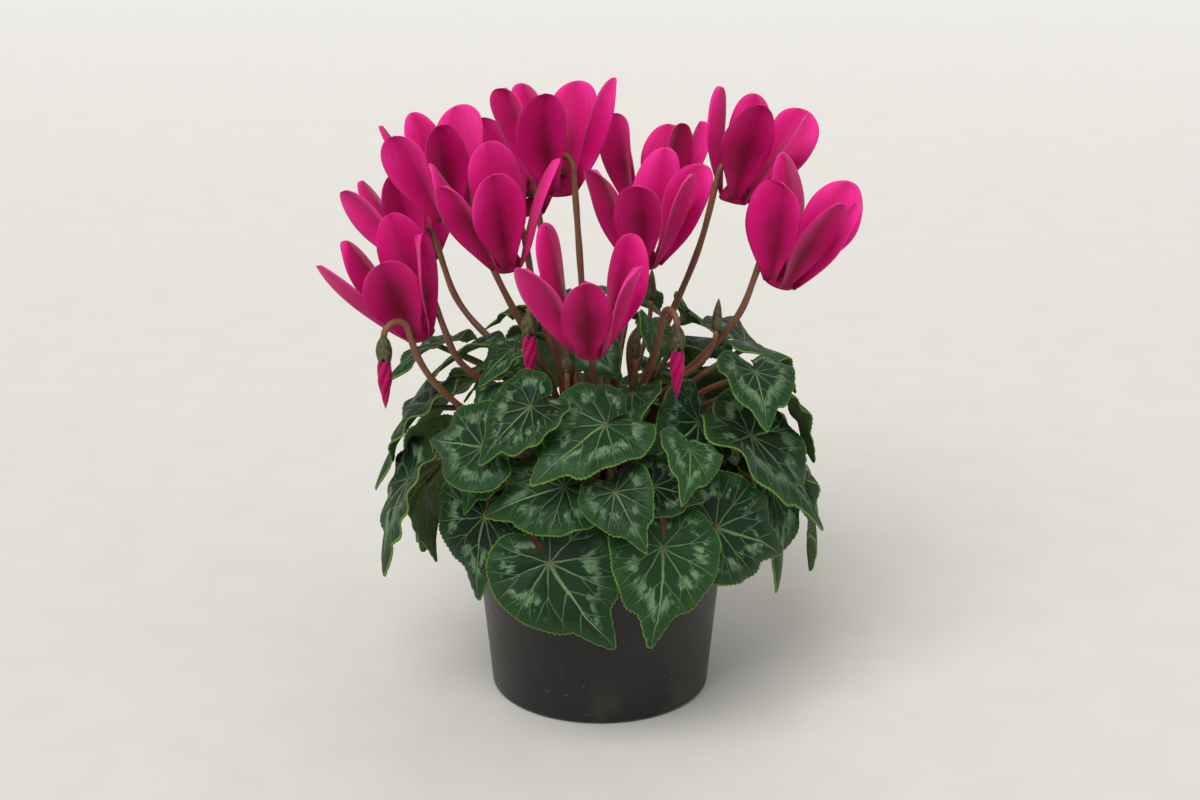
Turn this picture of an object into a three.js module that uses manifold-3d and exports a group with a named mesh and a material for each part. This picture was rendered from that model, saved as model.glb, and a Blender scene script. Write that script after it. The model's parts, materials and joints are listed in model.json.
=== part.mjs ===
// A mini cyclamen in flower, in its nursery pot and a black outer pot.
// Millimetres, +Z up. The origin is the middle of the outer pot's foot, and -Y is the front.
// The tuber sits half sunk in the soil. Leaf stems and flower stalks stand on its crown, and
// each heart-shaped leaf and each bloom is turned and raised until it is clear of the others.

import * as THREE from "three";
import { mergeVertices } from "three/addons/utils/BufferGeometryUtils.js";
import Module from "manifold-3d";

const wasm = await Module();
wasm.setup();

// Driving dimensions

const gap = 0.35; // between pieces that touch

const outerPot = { baseRadius: 37, topRadius: 42.4, height: 60, wall: 0.9, flange: 4.6, lip: 2, corner: 3 };
const innerPot = { baseRadius: 32.5, topRadius: 40.8, rimRadius: 45, height: 78, wall: 1.1 };
const drain = { radius: 3, circle: 20, count: 4 };
const soilTop = 69;
const tuber = { radius: 20, halfHeight: 14, middle: 65 };

const petioleRadius = 1.15;
const stalkRadius = 1.2;
const bladeThickness = 0.75;
const petalThickness = 0.75;

// How finely the shapes are cut.
const sides = { pot: 28, soil: 18, hole: 8, stem: 5, mouth: 6, bud: 6 };
const stemSteps = { leaf: 6, young: 4, stalk: 11 };
const routeSteps = { petiole: 14, stalk: 20 };
const leafSpokes = { leaf: 14, young: 10 };
const leafRows = 2;
const petalCells = { columns: 2, rows: 3, crowding: 1.3 }; // crowding packs the rows towards the tip

// Where the feet of the stems stand on the tuber, as distances from its middle.
const footRing = { crown: 10, shoulder: 13, skirt: 16.5 };
const stalkFootShare = 0.15; // of the bloom's own distance from the middle
const budFootShare = 0.2;

// How long a stem keeps its first and its last direction, as shares of its reach.
const stalkPulls = [0.55, 0.3];
const petiolePulls = { crown: [0.45, 0.35], shoulder: [0.45, 0.42], skirt: [0.6, 0.7] };

// The leaf's half outline: degrees from the tip, and the reach as a share of the leaf's length.
const leafOutline = [
  [0, 1],
  [9, 0.85],
  [25, 0.71],
  [44, 0.62],
  [67, 0.575],
  [90, 0.57],
  [111, 0.565],
  [133, 0.53],
  [152, 0.465],
  [167, 0.32],
];
const leafForm = { fold: 0.24, foldRound: 0.07, bend: 0.24, lobeDrop: 0.3, curl: 0.07, wave: 0.04 };
const notchAngle = 167;
const toothShare = 0.965; // the reach of the dips between the teeth
const petioleEnd = { ahead: 0.09, under: 0.7 }; // ahead as a share of the leaf's length

// Leaves at the front: degrees round the pot, distance and height of the point where the stem meets
// the leaf, how far the face looks up, the tip's swing from straight downhill, the leaf's length,
// and the ring that its stem stands on.
const frontLeaves = [
  { azimuth: -104, radius: 59, height: 62, facing: 18, swing: 26, length: 38, ring: "skirt" },
  { azimuth: -80, radius: 62, height: 72, facing: 30, swing: 4, length: 35, ring: "skirt" },
  { azimuth: -54, radius: 61, height: 75, facing: 28, swing: 66, length: 33, ring: "skirt" },
  { azimuth: -129, radius: 60, height: 69, facing: 24, swing: 12, length: 36, ring: "skirt" },
  { azimuth: -152, radius: 61, height: 76, facing: 25, swing: -14, length: 37, ring: "skirt" },
  { azimuth: -73, radius: 61, height: 92, facing: 42, swing: 82, length: 19, ring: "shoulder" },
  { azimuth: -96, radius: 55, height: 86, facing: 34, swing: -100, length: 31, ring: "shoulder" },
  { azimuth: -115, radius: 53, height: 92, facing: 40, swing: -50, length: 36, ring: "shoulder" },
  { azimuth: -84, radius: 50, height: 103, facing: 46, swing: -8, length: 33, ring: "shoulder" },
  { azimuth: -56, radius: 49, height: 104, facing: 50, swing: -40, length: 34, ring: "shoulder" },
  { azimuth: -108, radius: 56, height: 111, facing: 50, swing: -20, length: 26, ring: "crown" },
];

// The other leaves, in rings round the pot.
const leafRings = [
  {
    azimuths: [-20, 14, 47, 80, 114, 149, -176],
    row: { radius: 60, height: 70, facing: 24, swing: 30, length: 38, ring: "skirt" },
  },
  {
    azimuths: [-172, 144, 104, 60, 17, -24],
    row: { radius: 51, height: 96, facing: 44, swing: 30, length: 38, ring: "shoulder" },
  },
  {
    azimuths: [6, 49, 93, -175],
    row: { radius: 42, height: 113, facing: 56, swing: 30, length: 32, ring: "crown" },
  },
];

// Young leaves in the middle. Each forks from low on the stem of the nearest larger leaf.
const youngRow = { count: 7, first: -72, step: 51, forkPoint: 2 };
const youngLeaf = { radius: 26, height: 104, facing: 66, swing: 60, length: 20 };

// Blooms: where the middle of the mouth is, and the size against a full bloom.
const blooms = [
  { x: -3, y: -44, z: 132, size: 1.0 },
  { x: -57, y: -24, z: 131, size: 1.0 },
  { x: 57, y: -16, z: 146, size: 1.02 },
  { x: -29, y: -22, z: 153, size: 0.98 },
  { x: -48, y: 10, z: 160, size: 0.94 },
  { x: 14, y: -12, z: 151, size: 0.96 },
  { x: -13, y: 16, z: 167, size: 1.0 },
  { x: 44, y: 22, z: 163, size: 0.98 },
  { x: 16, y: 44, z: 152, size: 0.95 },
  { x: -24, y: 52, z: 150, size: 0.97 },
  { x: -60, y: 40, z: 136, size: 0.92 },
];
const bloomForm = { height: 35, mouthRadius: 4.4, topRadius: 15.5, coreHeight: 6.4, leanPerMm: 0.3 };
const petalRing = { count: 5, step: 60, baseRadius: 4.3, sunk: 0.4 };
const petalShape = { width: 17, baseWidth: 3.2, peak: 0.66, tipShare: 0.55 };
const petalTurns = { twist: 20, dish: 0.13, roll: 2.5 };
const sepals = { radius: 3.2, neck: 1.9, tip: 0.9, length: 2.9 };

// The stalk's hook over a bloom: how far beside the mouth it climbs, and where it starts and ends.
const stalkHook = { beside: 8, entry: -7, low: -3, high: 2, above: 2.6, steps: 5 };

// Nodding buds: where each hangs, and the height of the top of its hook.
const buds = [
  { x: -67, y: -43, z: 141 },
  { x: -22, y: -36, z: 147 },
  { x: 24, y: -42, z: 144 },
];
const budForm = { hook: 4.5, calyxRadius: 2.7, calyxLength: 7, radius: 2.4, length: 16, leaning: 0.25 };

// How far apart things are kept while the leaves find their places.
const keep = { blade: 1.6, stem: 1.5, bloom: 1.8, bud: 3.3, margin: 0.35, pot: 2, ground: 6 };
const sampleShares = [1, 0.85, 0.7, 0.55, 0.4, 0.25, 0.1];
const samplesRound = { count: 38, fullLength: 36 };
const search = { tries: 800, reach: 75, hopeless: -3 };

// How far the last try may stray from the wanted place, in millimetres and degrees.
const strays = { azimuth: 26, radius: 16, height: 18, facing: 28, roll: 24, swing: 75, shrink: 0.4 };

const leafGreen = new THREE.MeshStandardMaterial({ color: 0x23502e, roughness: 0.55 });
const stalkBrown = new THREE.MeshStandardMaterial({ color: 0x5a3a2a, roughness: 0.6 });
const petalPink = new THREE.MeshStandardMaterial({ color: 0xc4126f, roughness: 0.6 });
const blackPlastic = new THREE.MeshStandardMaterial({ color: 0x1d1d1f, roughness: 0.45 });
const terracottaPlastic = new THREE.MeshStandardMaterial({ color: 0xa24d38, roughness: 0.6 });
const peat = new THREE.MeshStandardMaterial({ color: 0x2a1c12, roughness: 0.95 });
const tuberSkin = new THREE.MeshStandardMaterial({ color: 0x4a3626, roughness: 0.85 });

const group = new THREE.Group();

// Small helpers

const radians = (degrees) => (degrees * Math.PI) / 180;

// Repeatable random numbers, so that the plant grows the same way each time.
class Dice {
  constructor(seed) {
    this.state = seed;
  }
  between(low, high) {
    this.state = (this.state * 1664525 + 1013904223) % 4294967296;
    return low + ((high - low) * this.state) / 4294967296;
  }
}

function place(name, geometry, material) {
  const mesh = new THREE.Mesh(geometry, material);
  mesh.name = name;
  group.add(mesh);
}

// A closed geometry as a solid that can be joined and cut. Triangles that shrank to a line go.
function solidOf(geometry) {
  const bare = geometry.clone();
  bare.deleteAttribute("normal");
  bare.deleteAttribute("uv");
  const merged = mergeVertices(bare, 1e-3);
  const corners = merged.index.array;
  const kept = [];
  for (let i = 0; i < corners.length; i += 3) {
    const [a, b, c] = [corners[i], corners[i + 1], corners[i + 2]];
    if (a !== b && b !== c && c !== a) kept.push(a, b, c);
  }
  const vertProperties = merged.attributes.position.array;
  return new wasm.Manifold(new wasm.Mesh({ numProp: 3, vertProperties, triVerts: new Uint32Array(kept) }));
}

function geometryOf(solid) {
  const mesh = solid.getMesh();
  const geometry = new THREE.BufferGeometry();
  geometry.setAttribute("position", new THREE.BufferAttribute(mesh.vertProperties, 3));
  geometry.setIndex(new THREE.BufferAttribute(mesh.triVerts, 1));
  return geometry;
}

// A point (right, front, up) of a frame, in the part's own millimetres.
function pointIn(frame, right, front, up) {
  return frame.origin
    .clone()
    .addScaledVector(frame.right, right)
    .addScaledVector(frame.front, front)
    .addScaledVector(frame.up, up);
}

// A thin closed sheet: point(across, along, face) gives its upper and its lower skin, and both are
// split into triangles the same way.
function sheetSolid(columns, rows, point) {
  const positions = [];
  for (const face of [1, -1])
    for (let j = 0; j <= rows; j++)
      for (let i = 0; i <= columns; i++) positions.push(...point(i / columns, j / rows, face));
  const lower = (columns + 1) * (rows + 1);
  const at = (i, j) => j * (columns + 1) + i;
  const index = [];
  for (let j = 0; j < rows; j++)
    for (let i = 0; i < columns; i++) {
      const [a, b, c, d] = [at(i, j), at(i + 1, j), at(i + 1, j + 1), at(i, j + 1)];
      index.push(a, b, c, a, c, d);
      index.push(lower + a, lower + c, lower + b, lower + a, lower + d, lower + c);
    }
  const wall = (a, b) => index.push(a, lower + a, lower + b, a, lower + b, b);
  for (let i = 0; i < columns; i++) {
    wall(at(i, 0), at(i + 1, 0));
    wall(at(i + 1, rows), at(i, rows));
  }
  for (let j = 0; j < rows; j++) {
    wall(at(0, j + 1), at(0, j));
    wall(at(columns, j), at(columns, j + 1));
  }
  const geometry = new THREE.BufferGeometry();
  geometry.setAttribute("position", new THREE.Float32BufferAttribute(positions, 3));
  geometry.setIndex(index);
  return solidOf(geometry);
}

// A round bar with few sides along a list of points.
function bar(points, radius, sides, steps) {
  const section = new THREE.Shape();
  for (let i = 0; i < sides; i++) {
    const turn = (2 * Math.PI * i) / sides;
    const corner = [radius * Math.cos(turn), radius * Math.sin(turn)];
    if (i === 0) section.moveTo(...corner);
    else section.lineTo(...corner);
  }
  section.closePath();
  const path = new THREE.CatmullRomCurve3(points, false, "centripetal");
  return solidOf(new THREE.ExtrudeGeometry(section, { steps, extrudePath: path, bevelEnabled: false }));
}

// Points along a stem that leaves start one way and comes to end another way.
function stemRoute(start, leaving, end, arriving, pulls, count) {
  const reach = start.distanceTo(end);
  const curve = new THREE.CubicBezierCurve3(
    start,
    start.clone().addScaledVector(leaving, reach * pulls[0]),
    end.clone().addScaledVector(arriving, -reach * pulls[1]),
    end,
  );
  return Array.from({ length: count + 1 }, (_, i) => curve.getPoint(i / count));
}

// The pots, the soil and the tuber

function lathe(profile, segments) {
  const points = profile.map(([radius, height]) => new THREE.Vector2(radius, height));
  return solidOf(new THREE.LatheGeometry(points, segments).rotateX(Math.PI / 2));
}

function drainHoles(height) {
  const cutters = [];
  for (let i = 0; i < drain.count; i++) {
    const turn = radians(45 + (360 / drain.count) * i);
    const hole = new THREE.CylinderGeometry(drain.radius, drain.radius, height * 2, sides.hole);
    hole.rotateX(Math.PI / 2);
    hole.translate(drain.circle * Math.cos(turn), drain.circle * Math.sin(turn), 0);
    cutters.push(solidOf(hole));
  }
  return wasm.Manifold.union(cutters);
}

function makeOuterPot() {
  const { baseRadius, topRadius, height, wall, flange, lip, corner } = outerPot;
  const slope = (topRadius - baseRadius) / height;
  const profile = [
    [0, 0],
    [baseRadius - corner, 0],
    [baseRadius - corner * 0.3, corner * 0.3],
    [baseRadius, corner],
    [topRadius - slope * lip, height - lip],
    [topRadius + flange - wall, height - wall],
    [topRadius + flange - wall, height - lip],
    [topRadius + flange, height - lip],
    [topRadius + flange, height],
    [topRadius - wall, height],
    [baseRadius - wall, corner],
    [baseRadius - corner, wall],
    [0, wall],
  ];
  place("outer_pot", geometryOf(lathe(profile, sides.pot).subtract(drainHoles(5))), blackPlastic);
}

const collarFoot = outerPot.height + gap;
const innerFloor = outerPot.wall + gap;

function makeInnerPot() {
  const { baseRadius, topRadius, rimRadius, height, wall } = innerPot;
  const profile = [
    [0, innerFloor],
    [baseRadius - 2, innerFloor],
    [baseRadius, innerFloor + 2],
    [topRadius, collarFoot],
    [rimRadius - 0.9, collarFoot],
    [rimRadius, height - 1.4],
    [rimRadius - 0.5, height],
    [rimRadius - wall - 0.5, height],
    [rimRadius - wall - 1.1, collarFoot + wall],
    [topRadius - wall, collarFoot + wall - 0.6],
    [baseRadius - wall, innerFloor + 2.4],
    [baseRadius - 2.6, innerFloor + wall],
    [0, innerFloor + wall],
  ];
  place("inner_pot", geometryOf(lathe(profile, sides.pot).subtract(drainHoles(6))), terracottaPlastic);
}

// The tuber's rounded skin: a point on it at a distance and azimuth from the middle, grown outwards.
function onTuber(distance, azimuth, grown) {
  const rise = tuber.halfHeight * Math.sqrt(1 - (distance / tuber.radius) ** 2);
  const upwards = new THREE.Vector3(0, 0, 1);
  const out = new THREE.Vector3(distance / tuber.radius ** 2, 0, rise / tuber.halfHeight ** 2).normalize();
  out.applyAxisAngle(upwards, azimuth);
  const skin = new THREE.Vector3(distance, 0, tuber.middle + rise).applyAxisAngle(upwards, azimuth);
  return { point: skin.addScaledVector(out, grown), out };
}

function tuberSolid(grown) {
  const ball = new THREE.SphereGeometry(1, 16, 10).rotateX(Math.PI / 2);
  ball.scale(tuber.radius + grown, tuber.radius + grown, tuber.halfHeight + grown);
  return solidOf(ball.translate(0, 0, tuber.middle));
}

function makeSoilAndTuber() {
  const { baseRadius, topRadius, rimRadius, wall } = innerPot;
  const floor = innerFloor + wall + gap;
  const side = wall + 0.6;
  const profile = [
    [0, floor],
    [baseRadius - 3, floor],
    [baseRadius - side, floor + 2.4],
    [topRadius - side, collarFoot + wall - 0.2],
    [rimRadius - side - 1.6, collarFoot + wall + gap],
    [rimRadius - side - 1.3, soilTop - 1.5],
    [38, soilTop],
    [31, soilTop - 1],
    [25, soilTop + 0.8],
    [0, soilTop + 0.5],
  ];
  place("soil", geometryOf(lathe(profile, sides.soil).subtract(tuberSolid(gap))), peat);
  place("tuber", geometryOf(tuberSolid(0)), tuberSkin);
}

// Leaves

// The reach of the leaf's edge at an angle from its tip, smoothly through the outline's points.
function edgeReach(degrees) {
  const last = leafOutline.length - 1;
  const angle = Math.min(Math.abs(degrees), leafOutline[last][0]);
  let k = 0;
  while (k < last - 1 && angle > leafOutline[k + 1][0]) k++;
  const slope = (i) => {
    const a = leafOutline[Math.max(i - 1, 0)];
    const b = leafOutline[Math.min(i + 1, last)];
    return (b[1] - a[1]) / (b[0] - a[0]);
  };
  const [x0, y0] = leafOutline[k];
  const [x1, y1] = leafOutline[k + 1];
  const span = x1 - x0;
  const t = (angle - x0) / span;
  const ease = t * t * (3 - 2 * t);
  const rise0 = t * (1 - t) ** 2 * span * slope(k);
  const rise1 = t * t * (t - 1) * span * slope(k + 1);
  return y0 * (1 - ease) + y1 * ease + rise0 + rise1;
}

// The height of the leaf's face over its flat plane, as a share of its length.
function leafRelief(q, w, share, degrees, leaf) {
  const { fold, foldRound, bend, lobeDrop, curl, wave } = leafForm;
  const groove = fold * (Math.sqrt(w * w + foldRound * foldRound) - foldRound);
  const droop = q > 0 ? bend * q * q : lobeDrop * q * q;
  const ripple = wave * share * share * Math.sin(radians(degrees) * leaf.waves + leaf.phase);
  return groove - droop * leaf.droop - curl * share ** 4 + ripple;
}

// The leaf's own frame: front is towards the tip, right is across it, and up is its face.
function leafFrame(leaf) {
  const azimuth = radians(leaf.azimuth);
  const facing = radians(leaf.facing);
  const swing = radians(leaf.swing);
  const up = new THREE.Vector3(
    Math.cos(azimuth) * Math.cos(facing),
    Math.sin(azimuth) * Math.cos(facing),
    Math.sin(facing),
  );
  const downhill = new THREE.Vector3(
    Math.cos(azimuth) * Math.sin(facing),
    Math.sin(azimuth) * Math.sin(facing),
    -Math.cos(facing),
  );
  const side = up.clone().cross(downhill);
  const front = downhill.multiplyScalar(Math.cos(swing)).addScaledVector(side, Math.sin(swing));
  const right = front.clone().cross(up);
  const roll = radians(leaf.roll);
  const level = up.clone();
  up.multiplyScalar(Math.cos(roll)).addScaledVector(right, Math.sin(roll));
  right.multiplyScalar(Math.cos(roll)).addScaledVector(level, -Math.sin(roll));
  const origin = new THREE.Vector3(
    leaf.radius * Math.cos(azimuth),
    leaf.radius * Math.sin(azimuth),
    leaf.height,
  );
  return { origin, right, front, up };
}

function leafPoint(leaf, frame, degrees, share, lift) {
  const reach = share * edgeReach(degrees) * leaf.length;
  const front = reach * Math.cos(radians(degrees));
  const right = reach * Math.sin(radians(degrees));
  const relief = leafRelief(front / leaf.length, right / leaf.length, share, degrees, leaf) * leaf.length;
  return pointIn(frame, right, front, relief + lift);
}

function petioleRoute(leaf, frame) {
  const foot = onTuber(footRing[leaf.ring], radians(leaf.azimuth), gap);
  const arriving = frame.front
    .clone()
    .multiplyScalar(Math.cos(radians(leaf.arrival)))
    .addScaledVector(frame.up, Math.sin(radians(leaf.arrival)));
  const end = pointIn(frame, 0, leaf.length * petioleEnd.ahead, -petioleEnd.under);
  const start = leaf.fork ?? foot.point;
  return stemRoute(start, foot.out, end, arriving, petiolePulls[leaf.ring], routeSteps.petiole);
}

// Points spread over a leaf and its stem, each with the room that it keeps.
function leafSamples(leaf, owner) {
  const frame = leafFrame(leaf);
  const samples = [];
  for (const share of sampleShares) {
    const count = Math.round((samplesRound.count * share * leaf.length) / samplesRound.fullLength);
    for (let i = 0; i <= count; i++) {
      const degrees = notchAngle * ((2 * i) / count - 1);
      samples.push({ point: leafPoint(leaf, frame, degrees, share, 0), room: keep.blade });
    }
  }
  const stem = petioleRoute(leaf, frame).slice(leaf.parent === undefined ? 0 : youngRow.forkPoint);
  for (const point of stem) samples.push({ point, room: keep.stem, stemOf: owner });
  return samples;
}

// How far a point is from the pots, negative inside them.
function potRoom(point) {
  const distance = Math.hypot(point.x, point.y);
  const outside = distance - (outerPot.topRadius + outerPot.flange);
  const above = point.z - innerPot.height;
  const inside = point.z > soilTop + 1 ? innerPot.rimRadius - innerPot.wall - distance - 1 : -1;
  return Math.max(outside, above, inside);
}

function leastRoom(samples, near) {
  let least = Infinity;
  for (const { point, room } of samples) {
    least = Math.min(least, potRoom(point) - keep.pot, point.z - keep.ground);
    for (const other of near) {
      const away = point.distanceTo(other.point) - room - other.room - keep.margin;
      if (away < least) least = away;
    }
    if (least < search.hopeless) return least;
  }
  return least;
}

// Turns, lifts and swings a leaf, further at each try, until it is clear of what is placed.
function settleLeaf(wanted, dice, placed) {
  const middle = leafFrame(wanted).origin;
  const near = placed.filter(
    (other) =>
      other.point.distanceTo(middle) < search.reach &&
      (other.stemOf === undefined || other.stemOf !== wanted.parent),
  );
  let best = null;
  let bestRoom = -Infinity;
  for (let k = 0; k < search.tries; k++) {
    const stray = k / search.tries;
    const nudge = (key) => wanted[key] + stray * dice.between(-strays[key], strays[key]);
    const leaf = {
      ...wanted,
      azimuth: nudge("azimuth"),
      radius: nudge("radius"),
      height: nudge("height"),
      facing: nudge("facing"),
      roll: nudge("roll"),
      swing: nudge("swing"),
      length: wanted.length * (1 - strays.shrink * stray * dice.between(0, 1)),
    };
    const room = leastRoom(leafSamples(leaf), near);
    if (room > bestRoom) {
      best = leaf;
      bestRoom = room;
    }
    if (bestRoom >= 0) break;
  }
  return best;
}

function leafSolid(leaf) {
  const frame = leafFrame(leaf);
  const kind = leaf.parent === undefined ? "leaf" : "young";
  const spokes = leafSpokes[kind];
  const blade = sheetSolid(spokes, leafRows, (across, along, face) => {
    const degrees = notchAngle * (2 * across - 1);
    const inDip = along === 1 && Math.round(across * spokes) % 2 === 1;
    const share = inDip ? toothShare : along;
    return leafPoint(leaf, frame, degrees, share, (face * bladeThickness) / 2).toArray();
  });
  return bar(petioleRoute(leaf, frame), petioleRadius, sides.stem, stemSteps[kind]).add(blade);
}

// Blooms and buds

// A bloom's frame: up runs from its mouth to its petal tips, and front is where the stalk comes in.
function bloomFrame(bloom) {
  const distance = Math.hypot(bloom.x, bloom.y);
  const outward = new THREE.Vector3(bloom.x / distance, bloom.y / distance, 0);
  const lean = radians(distance * bloomForm.leanPerMm);
  const up = new THREE.Vector3(0, 0, Math.cos(lean)).addScaledVector(outward, Math.sin(lean));
  const front = new THREE.Vector3(0, 0, Math.sin(lean)).addScaledVector(outward, -Math.cos(lean));
  const right = front.clone().cross(up);
  return { origin: new THREE.Vector3(bloom.x, bloom.y, bloom.z), right, front, up };
}

// A petal's half width: it widens up to its peak and has a round end.
function petalHalfWidth(along) {
  const { width, baseWidth, peak, tipShare } = petalShape;
  if (along < peak) {
    const grown = Math.sin((Math.PI / 2) * (along / peak)) ** 2;
    return (baseWidth + (width - baseWidth) * grown) / 2;
  }
  const past = (along - peak) / (1 - peak);
  return (width / 2) * Math.sqrt(1 - past * past * (1 - tipShare * tipShare));
}

// A petal's point: across from -1 to 1, along from 0 at the mouth to 1 at the tip.
function petalPoint(bloom, frame, petal, across, along, lift) {
  const { twist, dish, roll } = petalTurns;
  const half = petalHalfWidth(along) * across;
  const hollow = dish * petal.dish * across * half;
  const turn = radians(twist * petal.hand);
  const { baseRadius, sunk } = petalRing;
  const flare = baseRadius + (bloomForm.topRadius * petal.spread - baseRadius) * along;
  const out = flare + roll * along ** 4 - hollow * Math.cos(turn) + half * Math.sin(turn);
  const side = half * Math.cos(turn) + hollow * Math.sin(turn);
  const azimuth = radians(petal.azimuth);
  const s = bloom.size;
  const right = ((out + lift) * Math.sin(azimuth) + side * Math.cos(azimuth)) * s;
  const front = ((out + lift) * Math.cos(azimuth) - side * Math.sin(azimuth)) * s;
  return pointIn(frame, right, front, (bloomForm.height * petal.length * along + sunk) * s);
}

// The five petals stand round the side away from the stalk, a little uneven.
function petalsOf(bloom, index) {
  const dice = new Dice(700 + 37 * index);
  return Array.from({ length: petalRing.count }, (_, i) => ({
    azimuth: 180 + (i - (petalRing.count - 1) / 2) * petalRing.step,
    length: dice.between(0.93, 1.06),
    spread: dice.between(0.86, 1.14),
    hand: dice.between(0.7, 1.3),
    dish: dice.between(0.5, 1.3),
  }));
}

function bloomSamples(bloom, index) {
  const frame = bloomFrame(bloom);
  const samples = [];
  for (const petal of petalsOf(bloom, index))
    for (const along of [0, 0.2, 0.4, 0.6, 0.8, 1])
      for (const across of [-1, -0.5, 0, 0.5, 1])
        samples.push({ point: petalPoint(bloom, frame, petal, across, along, 0), room: keep.bloom });
  return samples;
}

// The stalk climbs to the mouth, passes beside it and bends over to hold the bloom from above.
function bloomStalkRoute(bloom) {
  const frame = bloomFrame(bloom);
  const distance = Math.hypot(bloom.x, bloom.y);
  const foot = onTuber(distance * stalkFootShare, Math.atan2(bloom.y, bloom.x), gap);
  const { beside, entry, low, high, above, steps } = stalkHook;
  const hook = beside / 2;
  const hookFoot = bloomForm.coreHeight * bloom.size + above;
  const end = pointIn(frame, 0, beside, entry);
  const route = stemRoute(foot.point, foot.out, end, frame.up, stalkPulls, routeSteps.stalk);
  route.push(pointIn(frame, 0, beside, low), pointIn(frame, 0, beside, high));
  for (let i = 0; i <= steps; i++) {
    const turn = (Math.PI * i) / steps;
    route.push(pointIn(frame, 0, hook + hook * Math.cos(turn), hookFoot + hook * Math.sin(turn)));
  }
  return route;
}

// A turned shape along the frame's up axis, such as a cone of sepals or a bud.
function turnedOn(frame, profile, count) {
  const basis = new THREE.Matrix4().makeBasis(frame.right, frame.front, frame.up).setPosition(frame.origin);
  const points = profile.map(([radius, height]) => new THREE.Vector2(radius, height));
  const shape = new THREE.LatheGeometry(points, count).rotateX(Math.PI / 2);
  return solidOf(shape.applyMatrix4(basis));
}

function makeBloom(name, bloom, index) {
  const frame = bloomFrame(bloom);
  const { mouthRadius, coreHeight } = bloomForm;
  const s = bloom.size;
  let corolla = turnedOn(
    frame,
    [
      [0, 2.2],
      [mouthRadius * 0.6 * s, 1.6],
      [mouthRadius * 0.8 * s, 0],
      [(mouthRadius + 0.5) * s, 0.2],
      [(mouthRadius + 0.2) * s, coreHeight * 0.55 * s],
      [1.6 * s, coreHeight * s],
      [0, coreHeight * s],
    ],
    sides.mouth,
  );
  const { columns, rows, crowding } = petalCells;
  for (const petal of petalsOf(bloom, index)) {
    const sheet = sheetSolid(columns, rows, (across, along, face) => {
      const height = 1 - (1 - along) ** crowding;
      const lift = (-face * petalThickness) / 2;
      return petalPoint(bloom, frame, petal, 2 * across - 1, height, lift).toArray();
    });
    corolla = corolla.add(sheet);
  }
  place(`bloom_${name}`, geometryOf(corolla), petalPink);

  const route = bloomStalkRoute(bloom);
  const calyxFoot = coreHeight * s + gap;
  const calyx = turnedOn(
    frame,
    [
      [0, calyxFoot],
      [sepals.radius * s, calyxFoot],
      [sepals.neck, calyxFoot + sepals.length * 0.62],
      [sepals.tip, calyxFoot + sepals.length],
      [0, calyxFoot + sepals.length],
    ],
    sides.stem,
  );
  const stalk = bar(route, stalkRadius, sides.stem, stemSteps.stalk).add(calyx);
  place(`bloom_stalk_${name}`, geometryOf(stalk), stalkBrown);
}

// A bud's frame: it hangs under the end of its hook, with up pointing along the stalk's end.
function budFrame(bud) {
  const distance = Math.hypot(bud.x, bud.y);
  const outward = new THREE.Vector3(bud.x / distance, bud.y / distance, 0);
  const right = new THREE.Vector3(-outward.y, outward.x, 0);
  const origin = new THREE.Vector3(bud.x, bud.y, bud.z - budForm.hook);
  return { origin, right, front: outward.clone().negate(), up: new THREE.Vector3(0, 0, 1) };
}

function budStalkRoute(bud) {
  const frame = budFrame(bud);
  const foot = onTuber(Math.hypot(bud.x, bud.y) * budFootShare, Math.atan2(bud.y, bud.x), gap);
  const leaning = frame.front.clone().multiplyScalar(-budForm.leaning).add(frame.up).normalize();
  const entry = pointIn(frame, 0, budForm.hook * 2, 0);
  const route = stemRoute(foot.point, foot.out, entry, leaning, stalkPulls, routeSteps.stalk);
  for (let i = 1; i <= 6; i++) {
    const turn = (Math.PI * i) / 6;
    const reach = budForm.hook * (1 + Math.cos(turn));
    route.push(pointIn(frame, 0, reach, budForm.hook * Math.sin(turn)));
  }
  return route;
}

function makeBud(name, bud) {
  const frame = budFrame(bud);
  const { calyxRadius, calyxLength, radius, length } = budForm;
  const calyx = turnedOn(
    frame,
    [
      [0, -calyxLength],
      [calyxRadius * 0.8, -calyxLength],
      [calyxRadius, -calyxLength * 0.6],
      [calyxRadius * 0.7, -calyxLength * 0.2],
      [0.9, 0.4],
      [0, 0.4],
    ],
    sides.bud,
  );
  const stalk = bar(budStalkRoute(bud), stalkRadius, sides.stem, stemSteps.stalk).add(calyx);
  place(`bud_stalk_${name}`, geometryOf(stalk), stalkBrown);
  const top = -calyxLength - gap;
  const spindle = turnedOn(
    frame,
    [
      [0, top - length],
      [radius * 0.35, top - length * 0.85],
      [radius, top - length * 0.4],
      [radius * 0.95, top - length * 0.12],
      [radius * 0.8, top],
      [0, top],
    ],
    sides.bud,
  );
  place(`bud_${name}`, geometryOf(spindle), petalPink);
}

function budSamples(bud) {
  const frame = budFrame(bud);
  const samples = [];
  for (let i = 0; i <= 5; i++) {
    const down = (budForm.calyxLength + budForm.length) * (i / 5);
    samples.push({ point: pointIn(frame, 0, 0, -down), room: keep.bud });
  }
  return samples;
}

// Putting the plant together

const twoDigits = (i) => String(i + 1).padStart(2, "0");

makeOuterPot();
makeInnerPot();
makeSoilAndTuber();

const placed = [];
const standStem = (route) => placed.push(...route.map((point) => ({ point, room: keep.stem })));

blooms.forEach((bloom, i) => {
  makeBloom(twoDigits(i), bloom, i);
  placed.push(...bloomSamples(bloom, i));
  standStem(bloomStalkRoute(bloom));
});
buds.forEach((bud, i) => {
  makeBud(String(i + 1), bud);
  placed.push(...budSamples(bud));
  standStem(budStalkRoute(bud));
});

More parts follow.
